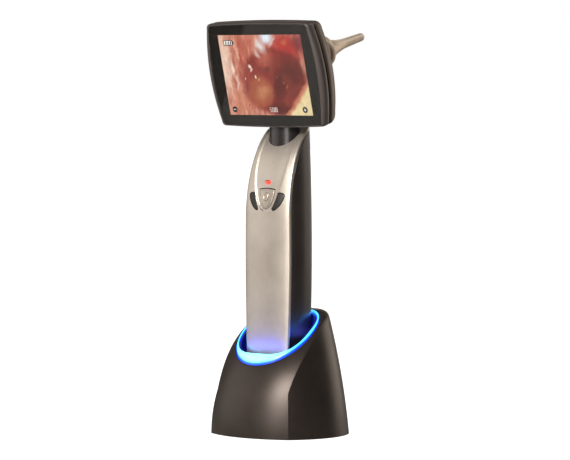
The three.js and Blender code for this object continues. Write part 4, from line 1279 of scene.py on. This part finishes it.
def area_light(name, place, aim, size, power, colour):
    data = bpy.data.lights.new(name, "AREA")
    data.shape = "RECTANGLE"
    data.size, data.size_y = size
    data.energy = power
    data.color = colour
    light = bpy.data.objects.new(name, data)
    light.location = place
    light.rotation_euler = (Vector(aim) - Vector(place)).to_track_quat("-Z", "Y").to_euler()
    SCENE.collection.objects.link(light)
    return light


def floor_material():
    """White to the camera and darker to every other ray, so that the object's sides stay deep."""
    nodes = Nodes("floor_white")
    mottle = nodes.noise(3.0, 2.0, 0.5)
    colour = nodes.mix(mottle, (0.30, 0.285, 0.265), (0.33, 0.315, 0.295))
    glow = nodes.mix(mottle, (0.92, 0.92, 0.92), (0.95, 0.95, 0.95))
    nodes.set(colour=colour, rough=0.9, specular=0.0, glow=glow, emission=nodes.by_ray(1.3, 0.10))


def build_floor():
    """The floor, and a dark card on it that only the screen's border reflects."""
    signs = ((-1, -1), (1, -1), (1, 1), (-1, 1))
    corners = [(x * FLOOR_SIZE, y * FLOOR_SIZE, -0.2) for x, y in signs]
    floor = make_object("floor", corners, [(0, 1, 2, 3)])
    floor_material()
    floor.data.materials.append(MATERIAL["floor_white"])
    card = make_object("dark_card", [(x, y, 0.4) for x, y in DARK_CARD], [(0, 1, 2, 3)])
    card.data.materials.append(MATERIAL["dark_card"])
    card.visible_camera = False


def build_world():
    """A white background to the camera, and a faint even light to everything else."""
    world = bpy.data.worlds.new("studio")
    world.use_nodes = True
    tree = world.node_tree
    background = tree.nodes["Background"]
    ray = tree.nodes.new("ShaderNodeLightPath")
    strength = tree.nodes.new("ShaderNodeMapRange")
    strength.inputs["To Min"].default_value = AMBIENT
    tree.links.new(ray.outputs["Is Camera Ray"], strength.inputs["Value"])
    tree.links.new(strength.outputs["Result"], background.inputs["Strength"])
    background.inputs["Color"].default_value = (1, 1, 1, 1)
    SCENE.world = world
    SCENE.view_settings.view_transform = "Standard"


def build_lights():
    for row in LIGHTS:
        light = area_light(*row)
        light.visible_camera = light.name != "backdrop"
    for name, x, y, drop, aim_x, aim_y, length, power in RING_GLOW:
        height = face_height(x, y) + 0.8 - drop
        place, aim = Vector((x, y, height)), Vector((aim_x, aim_y, height + 7.2))
        light = area_light(name, place * MM, aim * MM, (length * MM, 2.0 * MM), power, GLOW)
        light.visible_glossy = False


def build_view():
    data = bpy.data.cameras.new("view")
    data.lens = CAMERA["lens"]
    data.sensor_width = 36
    data.clip_end = 50
    camera = bpy.data.objects.new("view", data)
    around, down = math.radians(CAMERA["around"]), math.radians(CAMERA["down"])
    forward = Vector((-math.sin(around) * math.cos(down), math.cos(around) * math.cos(down), -math.sin(down)))
    camera.location = CAMERA["place"]
    camera.rotation_euler = forward.to_track_quat("-Z", "Y").to_euler()
    SCENE.collection.objects.link(camera)
    SCENE.camera = camera


finish_frame_nodes()
build_cradle_shell()
build_light_ring()
build_socket_liner()
build_front_cover()
build_rear_cover()
build_buttons()
build_indicator()
build_neck()
build_bezel()
build_screen()
build_battery_mark()
build_zoom_marks()
build_counter()
build_rear_shell()
build_camera_housing()
build_focus_ring()
build_speculum()
build_floor()
build_world()
build_lights()
build_view()
